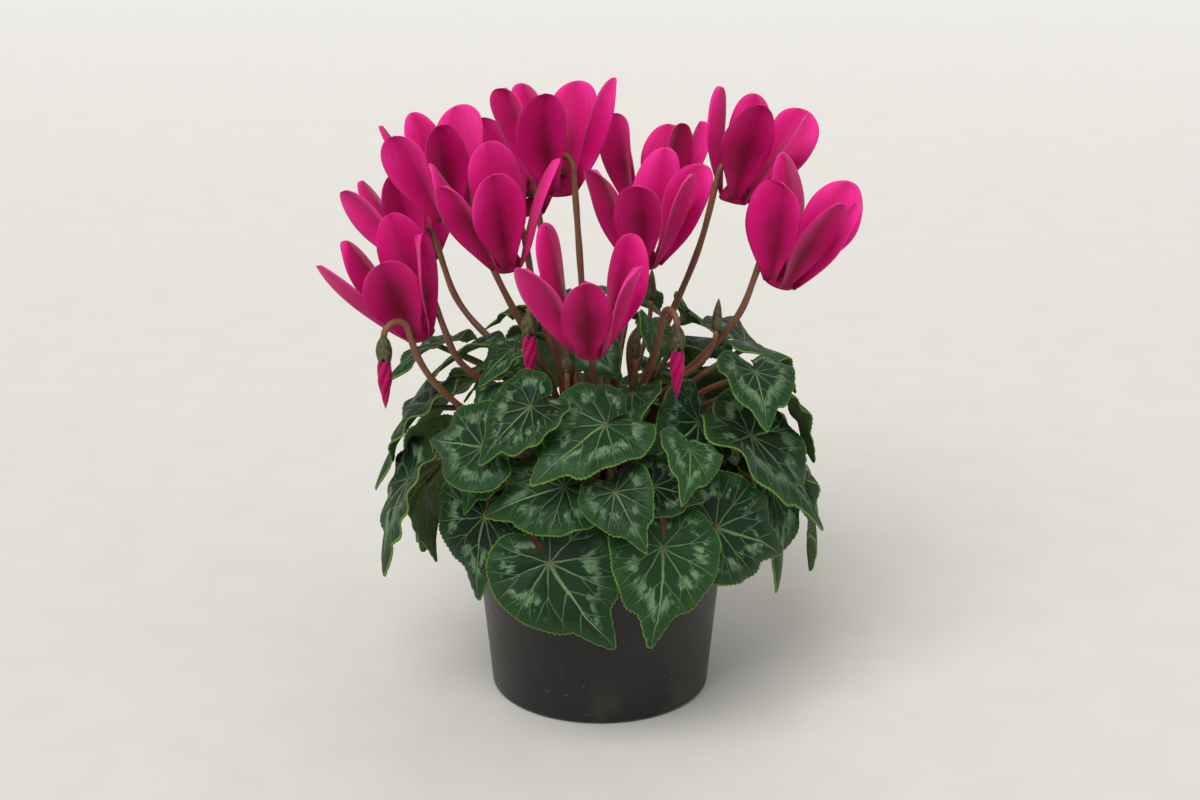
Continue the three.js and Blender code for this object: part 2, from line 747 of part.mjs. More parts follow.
// The leaf as wanted, before it is settled. A loose one is scattered round its row's values.
function wantedLeaf(given, dice, loose) {
  return {
    ...given,
    azimuth: given.azimuth + loose * dice.between(-7, 7),
    radius: given.radius + loose * dice.between(-5, 5),
    height: given.height + loose * dice.between(-6, 6),
    facing: given.facing + loose * dice.between(-9, 9),
    swing: loose ? given.swing * dice.between(-1, 1) : given.swing,
    roll: dice.between(-6, 14),
    length: given.length * (1 + loose * dice.between(-0.14, 0.12)),
    droop: dice.between(0.6, 1.3),
    waves: Math.floor(dice.between(3, 7)),
    phase: dice.between(0, 6.28),
    arrival: given.ring === "skirt" ? dice.between(18, 34) : dice.between(30, 50),
  };
}

const leafDice = new Dice(2024);
const wantedLeaves = frontLeaves.map((given) => wantedLeaf(given, leafDice, 0));
for (const { azimuths, row } of leafRings)
  for (const azimuth of azimuths) wantedLeaves.push(wantedLeaf({ ...row, azimuth }, leafDice, 1));

const leaves = wantedLeaves.map((wanted, i) => {
  const leaf = settleLeaf(wanted, leafDice, placed);
  placed.push(...leafSamples(leaf, i));
  return leaf;
});
const leafSolids = leaves.map(leafSolid);

// How far apart two azimuths are, in degrees, whichever way round is shorter.
const azimuthApart = (a, b) => Math.abs(((((a - b) % 360) + 540) % 360) - 180);

const parents = new Set();
for (let i = 0; i < youngRow.count; i++) {
  const azimuth = youngRow.first + i * youngRow.step;
  let parent = -1;
  leaves.forEach((leaf, k) => {
    if (leaf.ring === "skirt" || parents.has(k)) return;
    const apart = azimuthApart(leaf.azimuth, azimuth);
    if (parent < 0 || apart < azimuthApart(leaves[parent].azimuth, azimuth)) parent = k;
  });
  parents.add(parent);
  const fork = petioleRoute(leaves[parent], leafFrame(leaves[parent]))[youngRow.forkPoint];
  const given = { ...youngLeaf, azimuth, parent, fork, ring: leaves[parent].ring };
  const young = settleLeaf(wantedLeaf(given, leafDice, 1), leafDice, placed);
  placed.push(...leafSamples(young, parent));
  leafSolids[parent] = leafSolids[parent].add(leafSolid(young));
}
leafSolids.forEach((solid, i) => place(`leaf_${twoDigits(i)}`, geometryOf(solid), leafGreen));

export default group;
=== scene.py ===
"""A mini cyclamen in flower, in its nursery pot and a black outer pot.

The plant grows by rule: its blooms stand where they are set, and each leaf is turned, lifted and
swung until it is clear of what is placed. Plant sizes are in millimetres, and meshes in metres.
"""

import functools
import itertools
import json
import math
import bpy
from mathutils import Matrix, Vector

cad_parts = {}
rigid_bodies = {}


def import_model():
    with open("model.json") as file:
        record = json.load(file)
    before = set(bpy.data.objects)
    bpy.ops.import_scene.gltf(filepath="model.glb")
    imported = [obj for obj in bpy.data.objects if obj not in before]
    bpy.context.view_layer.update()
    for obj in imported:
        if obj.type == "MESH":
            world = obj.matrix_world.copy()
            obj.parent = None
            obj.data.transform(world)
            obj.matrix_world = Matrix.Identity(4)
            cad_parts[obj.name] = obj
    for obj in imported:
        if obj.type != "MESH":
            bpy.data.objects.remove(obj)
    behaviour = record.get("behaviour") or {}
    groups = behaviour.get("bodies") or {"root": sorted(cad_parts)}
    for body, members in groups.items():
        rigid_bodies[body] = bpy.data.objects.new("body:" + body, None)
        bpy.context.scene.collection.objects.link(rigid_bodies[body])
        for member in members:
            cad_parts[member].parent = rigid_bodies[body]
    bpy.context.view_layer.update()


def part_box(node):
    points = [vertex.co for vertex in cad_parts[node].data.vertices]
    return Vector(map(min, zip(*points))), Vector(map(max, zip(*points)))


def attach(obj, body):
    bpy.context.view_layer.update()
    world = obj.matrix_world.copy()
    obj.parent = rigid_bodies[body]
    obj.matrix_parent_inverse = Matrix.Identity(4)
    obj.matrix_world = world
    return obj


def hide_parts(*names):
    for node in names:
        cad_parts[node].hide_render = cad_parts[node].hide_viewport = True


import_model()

from types import SimpleNamespace

import bmesh
import bpy
import numpy as np
from bpy.props import FloatProperty, FloatVectorProperty, IntProperty, PointerProperty
from bpy.types import Operator, Panel, PropertyGroup
from mathutils import Vector

bl_info = {
    "name": "Potted cyclamen",
    "version": (1, 0, 0),
    "blender": (4, 5, 0),
    "location": "View3D > Sidebar > Cyclamen",
    "description": "Grows a mini cyclamen in flower in its two pots",
    "category": "Object",
}

MM = 0.001
FULL_TURN = 2 * math.pi
MERGE_DISTANCE = 0.02 * MM

# The pots, the soil and the tuber

GAP = 0.35
OUTER_POT = {"base": 37, "top": 42.4, "height": 60, "wall": 0.9, "flange": 4.6, "lip": 2, "corner": 3}
INNER_POT = {"base": 32.5, "top": 40.8, "rim": 45, "height": 78, "wall": 1.1}
DRAIN = {"radius": 3, "circle": 20, "count": 4, "reach": 5}
SOIL_TOP = 69
TUBER = {"radius": 20, "half_height": 14, "middle": 65}
COLLAR_FOOT = OUTER_POT["height"] + GAP
INNER_FLOOR = OUTER_POT["wall"] + GAP
CORNER_CUT, POT_STEPS = 0.35, 96
SOIL_UNEVEN = (-1.2, 1.0)
CRUMB = {"inner": 23, "band": 18.2, "lift": 0.3, "size": (0.4, 1.3), "stretch": (0.6, 1.4)}

# How far a piece may lie from its node's box.
LEAF_SLACK, BLOOM_SLACK = 3 * MM, 5 * MM

# Stems

PETIOLE_RADIUS = 1.15
STALK_RADIUS = 1.2
FOOT_RING = {"crown": 10, "shoulder": 13, "skirt": 16.5}
STALK_FOOT_SHARE = 0.15
BUD_FOOT_SHARE = 0.2
STALK_PULLS = (0.55, 0.3)
PETIOLE_PULLS = {"crown": (0.45, 0.35), "shoulder": (0.45, 0.42), "skirt": (0.6, 0.7)}
PETIOLE_STEPS = 14
STALK_STEPS = 20
PETIOLE_AHEAD = 0.09
PETIOLE_UNDER = 0.7

# The leaf's half outline: degrees from the tip, and the reach as a share of the leaf's length.
LEAF_OUTLINE = np.array([
    (0, 1), (9, 0.85), (25, 0.71), (44, 0.62), (67, 0.575),
    (90, 0.57), (111, 0.565), (133, 0.53), (152, 0.465), (167, 0.32),
])
FOLD, FOLD_ROUND, BEND, LOBE_DROP, CURL, WAVE = 0.24, 0.07, 0.24, 0.3, 0.07, 0.04
NOTCH_ANGLE, BLADE_ANGLE, BLADE_ROWS = 167, 173, 12

# What a blade has in close view: a pinch beside the tip, vein grooves, teeth and its own draws.
PINCH = {"depth": 0.11, "angle": 16, "width": 9}
GROOVE_WIDTH, GROOVE_DEPTH = 0.028, 0.016
TOOTH_SHAPE, TOOTH_UNEVEN = np.array((1.0, 0.2, 0.0)), (0.5, 1.3)
LEAF_DRAWS = {"waves": (8, 13), "phase": (0, 6.28), "ruffle": (0.016, 0.036), "tone": (0.0, 1.0)}
VEIN_ANGLES = (0, 33, 64, 101, 140)
VEIN_TURNS = tuple(math.radians(angle) for angle in VEIN_ANGLES)

# Leaves at the front: degrees round the pot, distance, height, how far the face looks up, the tip's
# swing, the length, and the ring that the stem stands on.
FRONT_LEAVES = (
    (-104, 59, 62, 18, 26, 38, "skirt"),
    (-80, 62, 72, 30, 4, 35, "skirt"),
    (-54, 61, 75, 28, 66, 33, "skirt"),
    (-129, 60, 69, 24, 12, 36, "skirt"),
    (-152, 61, 76, 25, -14, 37, "skirt"),
    (-73, 61, 92, 42, 82, 19, "shoulder"),
    (-96, 55, 86, 34, -100, 31, "shoulder"),
    (-115, 53, 92, 40, -50, 36, "shoulder"),
    (-84, 50, 103, 46, -8, 33, "shoulder"),
    (-56, 49, 104, 50, -40, 34, "shoulder"),
    (-108, 56, 111, 50, -20, 26, "crown"),
)
LEAF_RINGS = (
    ((-20, 14, 47, 80, 114, 149, -176), (60, 70, 24, 30, 38, "skirt")),
    ((-172, 144, 104, 60, 17, -24), (51, 96, 44, 30, 38, "shoulder")),
    ((6, 49, 93, -175), (42, 113, 56, 30, 32, "crown")),
)
# Smaller leaves that fill in between the others, in the same columns. One without room is left out.
SMALL_RINGS = (
    (27, 114, 64, 0, 19, "crown"),
    (36, 104, 56, 12, 21, "crown"),
    (44, 110, 56, 10, 25, "crown"),
    (50, 94, 44, -12, 22, "shoulder"),
    (58, 84, 36, 15, 25, "shoulder"),
    (62, 72, 28, 10, 21, "shoulder"),
)
SMALL_TURNS, SMALL_FIRST, SMALL_STEP, SMALL_HIDDEN, SMALL_ROOM = 9, -90, 137.5, 7, -0.6
SMALL_FINENESS, YOUNG_FINENESS = 0.75, 0.65
YOUNG_COUNT, YOUNG_FIRST, YOUNG_STEP, FORK_POINT = 7, -72, 51, 2
YOUNG_LEAF = (26, 104, 66, 60, 20)

# What a leaf draws: how far a loose one strays from its row, and its own bend, waves and stem.
LOOSE = {"azimuth": 7, "radius": 5, "height": 6, "facing": 9}
LOOSE_LENGTH, ROLL, DROOP, WAVES, PHASE = (-0.14, 0.12), (-6, 14), (0.6, 1.3), (3, 7), (0, 6.28)
ARRIVAL = {"crown": (30, 50), "shoulder": (30, 50), "skirt": (18, 34)}

# Blooms: where the middle of the mouth is, and the size against a full bloom.
BLOOMS = (
    (-3, -44, 132, 1.0),
    (-57, -24, 131, 1.0),
    (57, -16, 146, 1.02),
    (-29, -22, 153, 0.98),
    (-48, 10, 160, 0.94),
    (14, -12, 151, 0.96),
    (-13, 16, 167, 1.0),
    (44, 22, 163, 0.98),
    (16, 44, 152, 0.95),
    (-24, 52, 150, 0.97),
    (-60, 40, 136, 0.92),
)
BLOOM_HEIGHT, MOUTH_RADIUS, BLOOM_TOP_RADIUS, CORE_HEIGHT, LEAN_PER_MM = 35, 4.4, 15.5, 6.4, 0.3
PETAL_COUNT, PETAL_STEP, PETAL_BASE_RADIUS, PETAL_SUNK = 5, 60, 4.3, 0.4
PETAL_WIDTH, PETAL_BASE_WIDTH, PETAL_PEAK, PETAL_TIP_SHARE = 17, 3.2, 0.66, 0.55
PETAL_TWIST, PETAL_DISH, PETAL_ROLL = 20, 0.13, 2.5
PETAL_DRAWS = {"length": (0.93, 1.06), "spread": (0.86, 1.14), "hand": (0.7, 1.3), "dish": (0.5, 1.3)}
PETAL_SAMPLES = np.meshgrid((0, 0.2, 0.4, 0.6, 0.8, 1), (-1, -0.5, 0, 0.5, 1), indexing="ij")
SPOON = {"peak": 0.62, "mouth": 4.8, "width": PETAL_WIDTH + 1.4, "growth": 1.7, "roundness": 2.1}
# What each petal draws, and the number of its faces across and along.
BLOOM_DRAWS = {
    "phase": (0, 6.28), "ruffle": (0.4, 1.2), "fold": (3.4, 6.0), "sway": (-0.26, 0.26), "lean": (-3.0, 2.5),
    "skew": (-0.16, 0.16), "curl": (-2.0, 1.5), "breadth": (0.82, 1.04), "hollow": (0.015, 0.05),
    "bluntness": (1.8, 2.8), "tone": (0, 1),
}
PETAL_COUNTS = (16, 26)
HOOK = {"beside": 8, "entry": -7, "low": -3, "high": 2, "above": 2.6, "steps": 5}

# Nodding buds: where each hangs, and the height of the top of its hook.
BUDS = ((-67, -43, 141), (-22, -36, 147), (24, -42, 144))
BUD_HOOK, CUP_RADIUS, CUP_LENGTH, BUD_RADIUS, BUD_LENGTH, BUD_LEANING = 4.5, 2.7, 7, 2.4, 16, 0.25
# The bud's outline: shares of its length, and the radius there as a share.
BUD_BODY = ((0, 0.12, 0.4, 0.85, 1), (0.8, 0.95, 1, 0.35, 0.02))

# Young buds that still stand upright: degrees round the pot, distance from its middle, and height.
YOUNG_BUDS = ((-66, 34, 122), (-118, 36, 118), (-34, 34, 124), (40, 30, 128), (140, 32, 126))
YOUNG_BUD_HIDDEN, YOUNG_BUD_FOOT, YOUNG_BUD_STRAYS = 9, 6, ((-10, 10), (-10, 10), (-6, 8))
# Radius and height over the end of the stalk.
YOUNG_BUD_PROFILE = (
    (0, -0.3), (0.9, -0.2), (1.5, 1.2), (1.7, 3.2), (1.35, 6.0), (0.8, 8.6), (0.15, 10.4), (0, 10.5),
)

# How far apart things are kept while the leaves find their places.
KEEP_BLADE, KEEP_STEM, KEEP_BLOOM, KEEP_BUD = 1.6, 1.5, 1.8, 3.3
KEEP_MARGIN, KEEP_POT, KEEP_INSIDE, KEEP_GROUND = 0.35, 2, 1, 6
SAMPLE_SHARES = (1, 0.85, 0.7, 0.55, 0.4, 0.25, 0.1)
SAMPLES_ROUND, SAMPLES_LENGTH = 38, 36
TRIES = 800
NEAR_RINGS = (0, 22, 36, 52, 75)
STRAYS = {"azimuth": 26, "radius": 16, "height": 18, "facing": 28, "roll": 24, "swing": 75}
SHRINK = 0.4

# Each light's direction, strength, and softness in degrees.
LIGHTS = (
    ("key", (-0.5, -1.0, 1.4), 2.15, 40),
    ("fill", (1.4, -0.7, 1.2), 0.25, 60),
    ("back", (0.4, 1.5, 1.3), 0.45, 50),
)
SURROUND_LIGHT, FLOOR_HALF = 0.45, 6


class Dice:
    """Repeatable random numbers, so that the plant grows the same way each time."""

    def __init__(self, seed):
        self.state = seed

    def between(self, low, high):
        self.state = (self.state * 1664525 + 1013904223) % 4294967296
        return low + (high - low) * self.state / 4294967296

    def draw(self, spans):
        return {name: self.between(*span) for name, span in spans.items()}


class Frame:
    """A place with its own right, front and up directions."""

    def __init__(self, origin, right, front, up):
        vectors = (np.array(v, float) for v in (origin, right, front, up))
        self.origin, self.right, self.front, self.up = vectors

    def at(self, right, front, up):
        """Points (right, front, up) of this frame, in the plant's millimetres."""
        right, front, up = (np.asarray(v, float)[..., None] for v in (right, front, up))
        return self.origin + self.right * right + self.front * front + self.up * up


UPRIGHT = ((1, 0, 0), (0, 1, 0), (0, 0, 1))
GROUND = Frame((0, 0, 0), *UPRIGHT)
SIDEWAYS = (0.3, 0.9, 0.1)


def unit(vector):
    return np.array(vector, float) / np.linalg.norm(vector)


def on_tuber(distance, azimuth, grown):
    """A point on the tuber's skin, grown outwards, and the direction out of the skin there."""
    radius, half, middle = TUBER["radius"], TUBER["half_height"], TUBER["middle"]
    rise = half * math.sqrt(1 - (distance / radius) ** 2)
    flat, steep = unit((distance / radius**2, rise / half**2))
    out = np.array((flat * math.cos(azimuth), flat * math.sin(azimuth), steep))
    skin = np.array((distance * math.cos(azimuth), distance * math.sin(azimuth), middle + rise))
    return skin + out * grown, out


def stem_route(start, leaving, end, arriving, pulls, count):
    """Points along a stem that leaves start one way and comes to end another way."""
    reach = np.linalg.norm(end - start)
    near = start + leaving * reach * pulls[0]
    far = end - arriving * reach * pulls[1]
    t = np.linspace(0, 1, count + 1)[:, None]
    s = 1 - t
    return s**3 * start + 3 * s * s * t * near + 3 * s * t * t * far + t**3 * end


# Leaves

AFTER = np.minimum(np.arange(len(LEAF_OUTLINE)) + 1, len(LEAF_OUTLINE) - 1)
BEFORE = np.maximum(np.arange(len(LEAF_OUTLINE)) - 1, 0)
SPANS, RISES = (LEAF_OUTLINE[AFTER] - LEAF_OUTLINE[BEFORE]).T
SLOPES = RISES / SPANS


def edge_reach(degrees):
    """The reach of the leaf's edge at angles from its tip, smoothly through the outline's points."""
    angle = np.minimum(np.abs(degrees), LEAF_OUTLINE[-1, 0])
    k = np.searchsorted(LEAF_OUTLINE[1:-1, 0], angle, side="left")
    x0, y0 = LEAF_OUTLINE[k, 0], LEAF_OUTLINE[k, 1]
    span, y1 = LEAF_OUTLINE[k + 1, 0] - x0, LEAF_OUTLINE[k + 1, 1]
    t = (angle - x0) / span
    ease = t * t * (3 - 2 * t)
    rises = t * (1 - t) ** 2 * span * SLOPES[k] + t * t * (t - 1) * span * SLOPES[k + 1]
    return y0 * (1 - ease) + y1 * ease + rises


def leaf_frame(leaf):
    """Front is towards the tip, right is across the leaf, and up is its face."""
    turns = (math.radians(leaf[key]) for key in ("azimuth", "facing", "swing", "roll"))
    azimuth, facing, swing, roll = turns
    out = np.array((math.cos(azimuth), math.sin(azimuth), 0))
    high = np.array((0, 0, 1.0))
    up = out * math.cos(facing) + high * math.sin(facing)
    downhill = out * math.sin(facing) - high * math.cos(facing)
    front = downhill * math.cos(swing) + np.cross(up, downhill) * math.sin(swing)
    right = np.cross(front, up)
    rolled_up = up * math.cos(roll) + right * math.sin(roll)
    rolled_right = right * math.cos(roll) - up * math.sin(roll)
    origin = (leaf["radius"] * math.cos(azimuth), leaf["radius"] * math.sin(azimuth), leaf["height"])
    return Frame(origin, rolled_right, front, rolled_up)


def leaf_point(leaf, place, degrees, share, lift, toothed=1.0):
    """Points of a leaf at angles from its tip and shares of the way to its edge."""
    angle = np.radians(degrees)
    reach = share * edge_reach(degrees) * toothed
    q, w = reach * np.cos(angle), reach * np.sin(angle)
    groove = FOLD * (np.sqrt(w * w + FOLD_ROUND**2) - FOLD_ROUND)
    droop = np.where(q > 0, BEND, LOBE_DROP) * q * q * leaf["droop"]
    ripple = WAVE * share * share * np.sin(angle * leaf["waves"] + leaf["phase"])
    relief = groove - droop - CURL * share**4 + ripple
    length = leaf["length"]
    return place.at(w * length, q * length, relief * length + lift)


def petiole_route(leaf, place):
    foot, out = on_tuber(FOOT_RING[leaf["ring"]], math.radians(leaf["azimuth"]), GAP)
    start = foot if leaf["fork"] is None else leaf["fork"]
    arrival = math.radians(leaf["arrival"])
    arriving = place.front * math.cos(arrival) + place.up * math.sin(arrival)
    end = place.at(0, leaf["length"] * PETIOLE_AHEAD, -PETIOLE_UNDER)
    return stem_route(start, out, end, arriving, PETIOLE_PULLS[leaf["ring"]], PETIOLE_STEPS)


@functools.cache
def sample_grid(counts):
    """Angles and shares of the points that stand for a blade, for the number of steps at each share."""
    degrees = [NOTCH_ANGLE * (2 * np.arange(n + 1) / n - 1) for n in counts]
    shares = [np.full(n + 1, share) for n, share in zip(counts, SAMPLE_SHARES)]
    return np.concatenate(degrees), np.concatenate(shares)


def leaf_samples(leaf):
    """Points spread over a blade, and points along its stem."""
    place = leaf_frame(leaf)
    steps = SAMPLES_ROUND * leaf["length"] / SAMPLES_LENGTH
    degrees, shares = sample_grid(tuple(math.floor(steps * share + 0.5) for share in SAMPLE_SHARES))
    return leaf_point(leaf, place, degrees, shares, 0), petiole_route(leaf, place)[leaf["hidden_steps"]:]


class Placed:
    """Every point that a new leaf keeps away from, with its room and the stem that it belongs to."""

    def __init__(self):
        self.points = np.zeros((0, 3))
        self.rooms = np.zeros(0)
        self.stems = np.zeros(0, int)

    def add(self, points, room, stem=-1):
        self.points = np.concatenate((self.points, points))
        self.rooms = np.concatenate((self.rooms, np.full(len(points), room)))
        self.stems = np.concatenate((self.stems, np.full(len(points), stem)))

    def add_leaf(self, leaf, stem):
        blade, petiole = leaf_samples(leaf)
        self.add(blade, KEEP_BLADE)
        self.add(petiole, KEEP_STEM, stem)

    def near(self, middle, parent):
        """The points near a place, nearest first, in groups that keep the same room."""
        away = np.linalg.norm(self.points - middle, axis=1)
        if parent is not None:
            away[self.stems == parent] = math.inf
        groups = []
        for low, high in zip(NEAR_RINGS, NEAR_RINGS[1:]):
            ring = (away >= low) & (away < high)
            for room in np.unique(self.rooms[ring]):
                groups.append((room, self.points[ring & (self.rooms == room)]))
        return groups


def pot_room(points):
    """How far points are from the pots, negative inside them."""
    distance = np.hypot(points[:, 0], points[:, 1])
    outside = distance - (OUTER_POT["top"] + OUTER_POT["flange"])
    above = points[:, 2] - INNER_POT["height"]
    within = INNER_POT["rim"] - INNER_POT["wall"] - distance - KEEP_INSIDE
    inside = np.where(points[:, 2] > SOIL_TOP + KEEP_INSIDE, within, -KEEP_INSIDE)
    return np.maximum(np.maximum(outside, above), inside)


def least_room(leaf, near, beaten):
    """The room that a leaf has, or as soon as that is known, any room that is already beaten."""
    blade, petiole = leaf_samples(leaf)
    points = np.concatenate((blade, petiole))
    rooms = np.concatenate((np.full(len(blade), KEEP_BLADE), np.full(len(petiole), KEEP_STEM)))
    least = min((pot_room(points) - KEEP_POT).min(), (points[:, 2] - KEEP_GROUND).min())
    squares = (points * points).sum(1)
    for room, others in near:
        if least <= beaten:
            break
        apart = squares[:, None] + (others * others).sum(1)[None] - 2 * points @ others.T
        closest = np.sqrt(np.maximum(apart.min(1), 0))
        least = min(least, (closest - rooms - room - KEEP_MARGIN).min())
    return least


def settle_leaf(wanted, dice, placed):
    """Turns, lifts and swings a leaf, further at each try, until it is clear of what is placed."""
    near = placed.near(leaf_frame(wanted).origin, wanted["parent"])
    best, best_room = None, -math.inf
    for k in range(TRIES):
        stray = k / TRIES
        leaf = dict(wanted)
        for key, far in STRAYS.items():
            leaf[key] = wanted[key] + stray * dice.between(-far, far)
        leaf["length"] = wanted["length"] * (1 - SHRINK * stray * dice.between(0, 1))
        room = least_room(leaf, near, best_room)
        if room > best_room:
            best, best_room = leaf, room
        if best_room >= 0:
            break
    return best, best_room


def wanted_leaf(azimuth, row, ring, dice, loose, parent=None, fork=None):
    """The leaf as wanted, before it is settled. A loose one is scattered round its row's values."""
    *places, swing, length = azimuth, *row
    leaf = {"ring": ring, "parent": parent, "fork": fork}
    leaf["hidden_steps"] = 0 if parent is None else FORK_POINT
    for (key, far), value in zip(LOOSE.items(), places):
        leaf[key] = value + loose * dice.between(-far, far)
    leaf["swing"] = swing * dice.between(-1, 1) if loose else swing
    leaf["roll"] = dice.between(*ROLL)
    leaf["length"] = length * (1 + loose * dice.between(*LOOSE_LENGTH))
    leaf["droop"] = dice.between(*DROOP)
    leaf["waves"] = math.floor(dice.between(*WAVES))
    leaf["phase"] = dice.between(*PHASE)
    leaf["arrival"] = dice.between(*ARRIVAL[ring])
    return leaf


# Blooms and buds

def bloom_frame(x, y, z):
    """Up runs from the mouth to the petal tips, and front is where the stalk comes in."""
    distance = math.hypot(x, y)
    outward = np.array((x / distance, y / distance, 0))
    high = np.array((0, 0, 1.0))
    lean = math.radians(distance * LEAN_PER_MM)
    up = high * math.cos(lean) + outward * math.sin(lean)
    front = high * math.sin(lean) - outward * math.cos(lean)
    return Frame((x, y, z), np.cross(front, up), front, up)


def petals_of(index):
    """The five petals stand round the side away from the stalk, a little uneven."""
    dice = Dice(700 + 37 * index)
    places = np.arange(PETAL_COUNT) - (PETAL_COUNT - 1) / 2
    return [{"azimuth": math.radians(180 + k * PETAL_STEP), **dice.draw(PETAL_DRAWS)} for k in places]


def petal_half_width(along):
    """It widens up to its peak and has a blunt end."""
    grown = np.sin(math.pi / 2 * np.minimum(along / PETAL_PEAK, 1)) ** 2
    past = np.maximum((along - PETAL_PEAK) / (1 - PETAL_PEAK), 0)
    blunt = np.sqrt(1 - past * past * (1 - PETAL_TIP_SHARE**2))
    rising = (PETAL_BASE_WIDTH + (PETAL_WIDTH - PETAL_BASE_WIDTH) * grown) / 2
    return np.where(along < PETAL_PEAK, rising, PETAL_WIDTH / 2 * blunt)


def spoon_half_width(along, bluntness):
    """The same petal seen closely: wider at the mouth, and fully rounded at the tip."""
    peak, mouth, width, growth, roundness = SPOON.values()
    grown = np.sin(math.pi / 2 * np.minimum(along / peak, 1)) ** growth
    past = np.maximum((along - peak) / (1 - peak), 0)
    rounded = np.maximum(1 - past**bluntness, 0) ** (1 / roundness)
    return np.where(along < peak, (mouth + (width - mouth) * grown) / 2, width / 2 * rounded)


def towards_tip(v):
    """Rows of a petal's grid lie closer together towards its round tip."""
    return 1 - (1 - v) ** 2


def towards_edge(v):
    """Rows of a leaf's grid lie a little closer together towards its edge."""
    return 1 - (1 - v) ** 1.15


def petal_point(size, place, petal, half_width, across, along, lift=0):
    """Points of a petal: across from -1 to 1, along from 0 at the mouth to 1 at the tip."""
    half = half_width * across
    hollow = PETAL_DISH * petal["dish"] * across * half
    turn = math.radians(PETAL_TWIST * petal["hand"])
    flare = PETAL_BASE_RADIUS + (BLOOM_TOP_RADIUS * petal["spread"] - PETAL_BASE_RADIUS) * along
    out = flare + PETAL_ROLL * along**4 - hollow * math.cos(turn) + half * math.sin(turn) + lift
    side = half * math.cos(turn) + hollow * math.sin(turn)
    sine, cosine = np.sin(petal["azimuth"]), np.cos(petal["azimuth"])
    up = BLOOM_HEIGHT * petal["length"] * along + PETAL_SUNK
    return place.at((out * sine + side * cosine) * size, (out * cosine - side * sine) * size, up * size)


def bloom_stalk_route(x, y, z, size):
    """The stalk climbs to the mouth, passes beside it and bends over to hold the bloom from above."""
    place = bloom_frame(x, y, z)
    foot, out = on_tuber(math.hypot(x, y) * STALK_FOOT_SHARE, math.atan2(y, x), GAP)
    hook = HOOK["beside"] / 2
    end = place.at(0, HOOK["beside"], HOOK["entry"])
    climb = stem_route(foot, out, end, place.up, STALK_PULLS, STALK_STEPS)
    turn = np.linspace(0, math.pi, HOOK["steps"] + 1)
    top = CORE_HEIGHT * size + HOOK["above"]
    arc = place.at(0 * turn, hook + hook * np.cos(turn), top + hook * np.sin(turn))
    sides = place.at([0, 0], [HOOK["beside"]] * 2, [HOOK["low"], HOOK["high"]])
    return np.concatenate((climb, sides, arc))


def bud_frame(x, y, z):
    distance = math.hypot(x, y)
    outward = np.array((x / distance, y / distance, 0))
    return Frame((x, y, z - BUD_HOOK), (-outward[1], outward[0], 0), -outward, (0, 0, 1))


def bud_stalk_route(x, y, z):
    place = bud_frame(x, y, z)
    foot, out = on_tuber(math.hypot(x, y) * BUD_FOOT_SHARE, math.atan2(y, x), GAP)
    leaning = unit(place.up - place.front * BUD_LEANING)
    climb = stem_route(foot, out, place.at(0, BUD_HOOK * 2, 0), leaning, STALK_PULLS, STALK_STEPS)
    turn = np.linspace(0, math.pi, 7)[1:]
    arc = place.at(0 * turn, BUD_HOOK * (1 + np.cos(turn)), BUD_HOOK * np.sin(turn))
    return np.concatenate((climb, arc))


def free_stalk(azimuth, radius, height, dice, placed):
    """A slim stalk that finds a free way up between the leaves, or nothing."""
    spot = np.array((radius * math.cos(azimuth), radius * math.sin(azimuth), height))
    near = placed.near(spot, None)
    foot, out = on_tuber(YOUNG_BUD_FOOT, azimuth, GAP)
    for _ in range(TRIES):
        end = spot + [dice.between(*span) for span in YOUNG_BUD_STRAYS]
        route = stem_route(foot, out, end, np.array((0, 0, 1.0)), STALK_PULLS, STALK_STEPS)
        shown = route[YOUNG_BUD_HIDDEN:]
        gaps = (np.linalg.norm(others[:, None] - shown, axis=2).min() - room for room, others in near)
        if min(gaps) > KEEP_STEM + KEEP_MARGIN:
            placed.add(shown, KEEP_STEM)
            return route
    return None


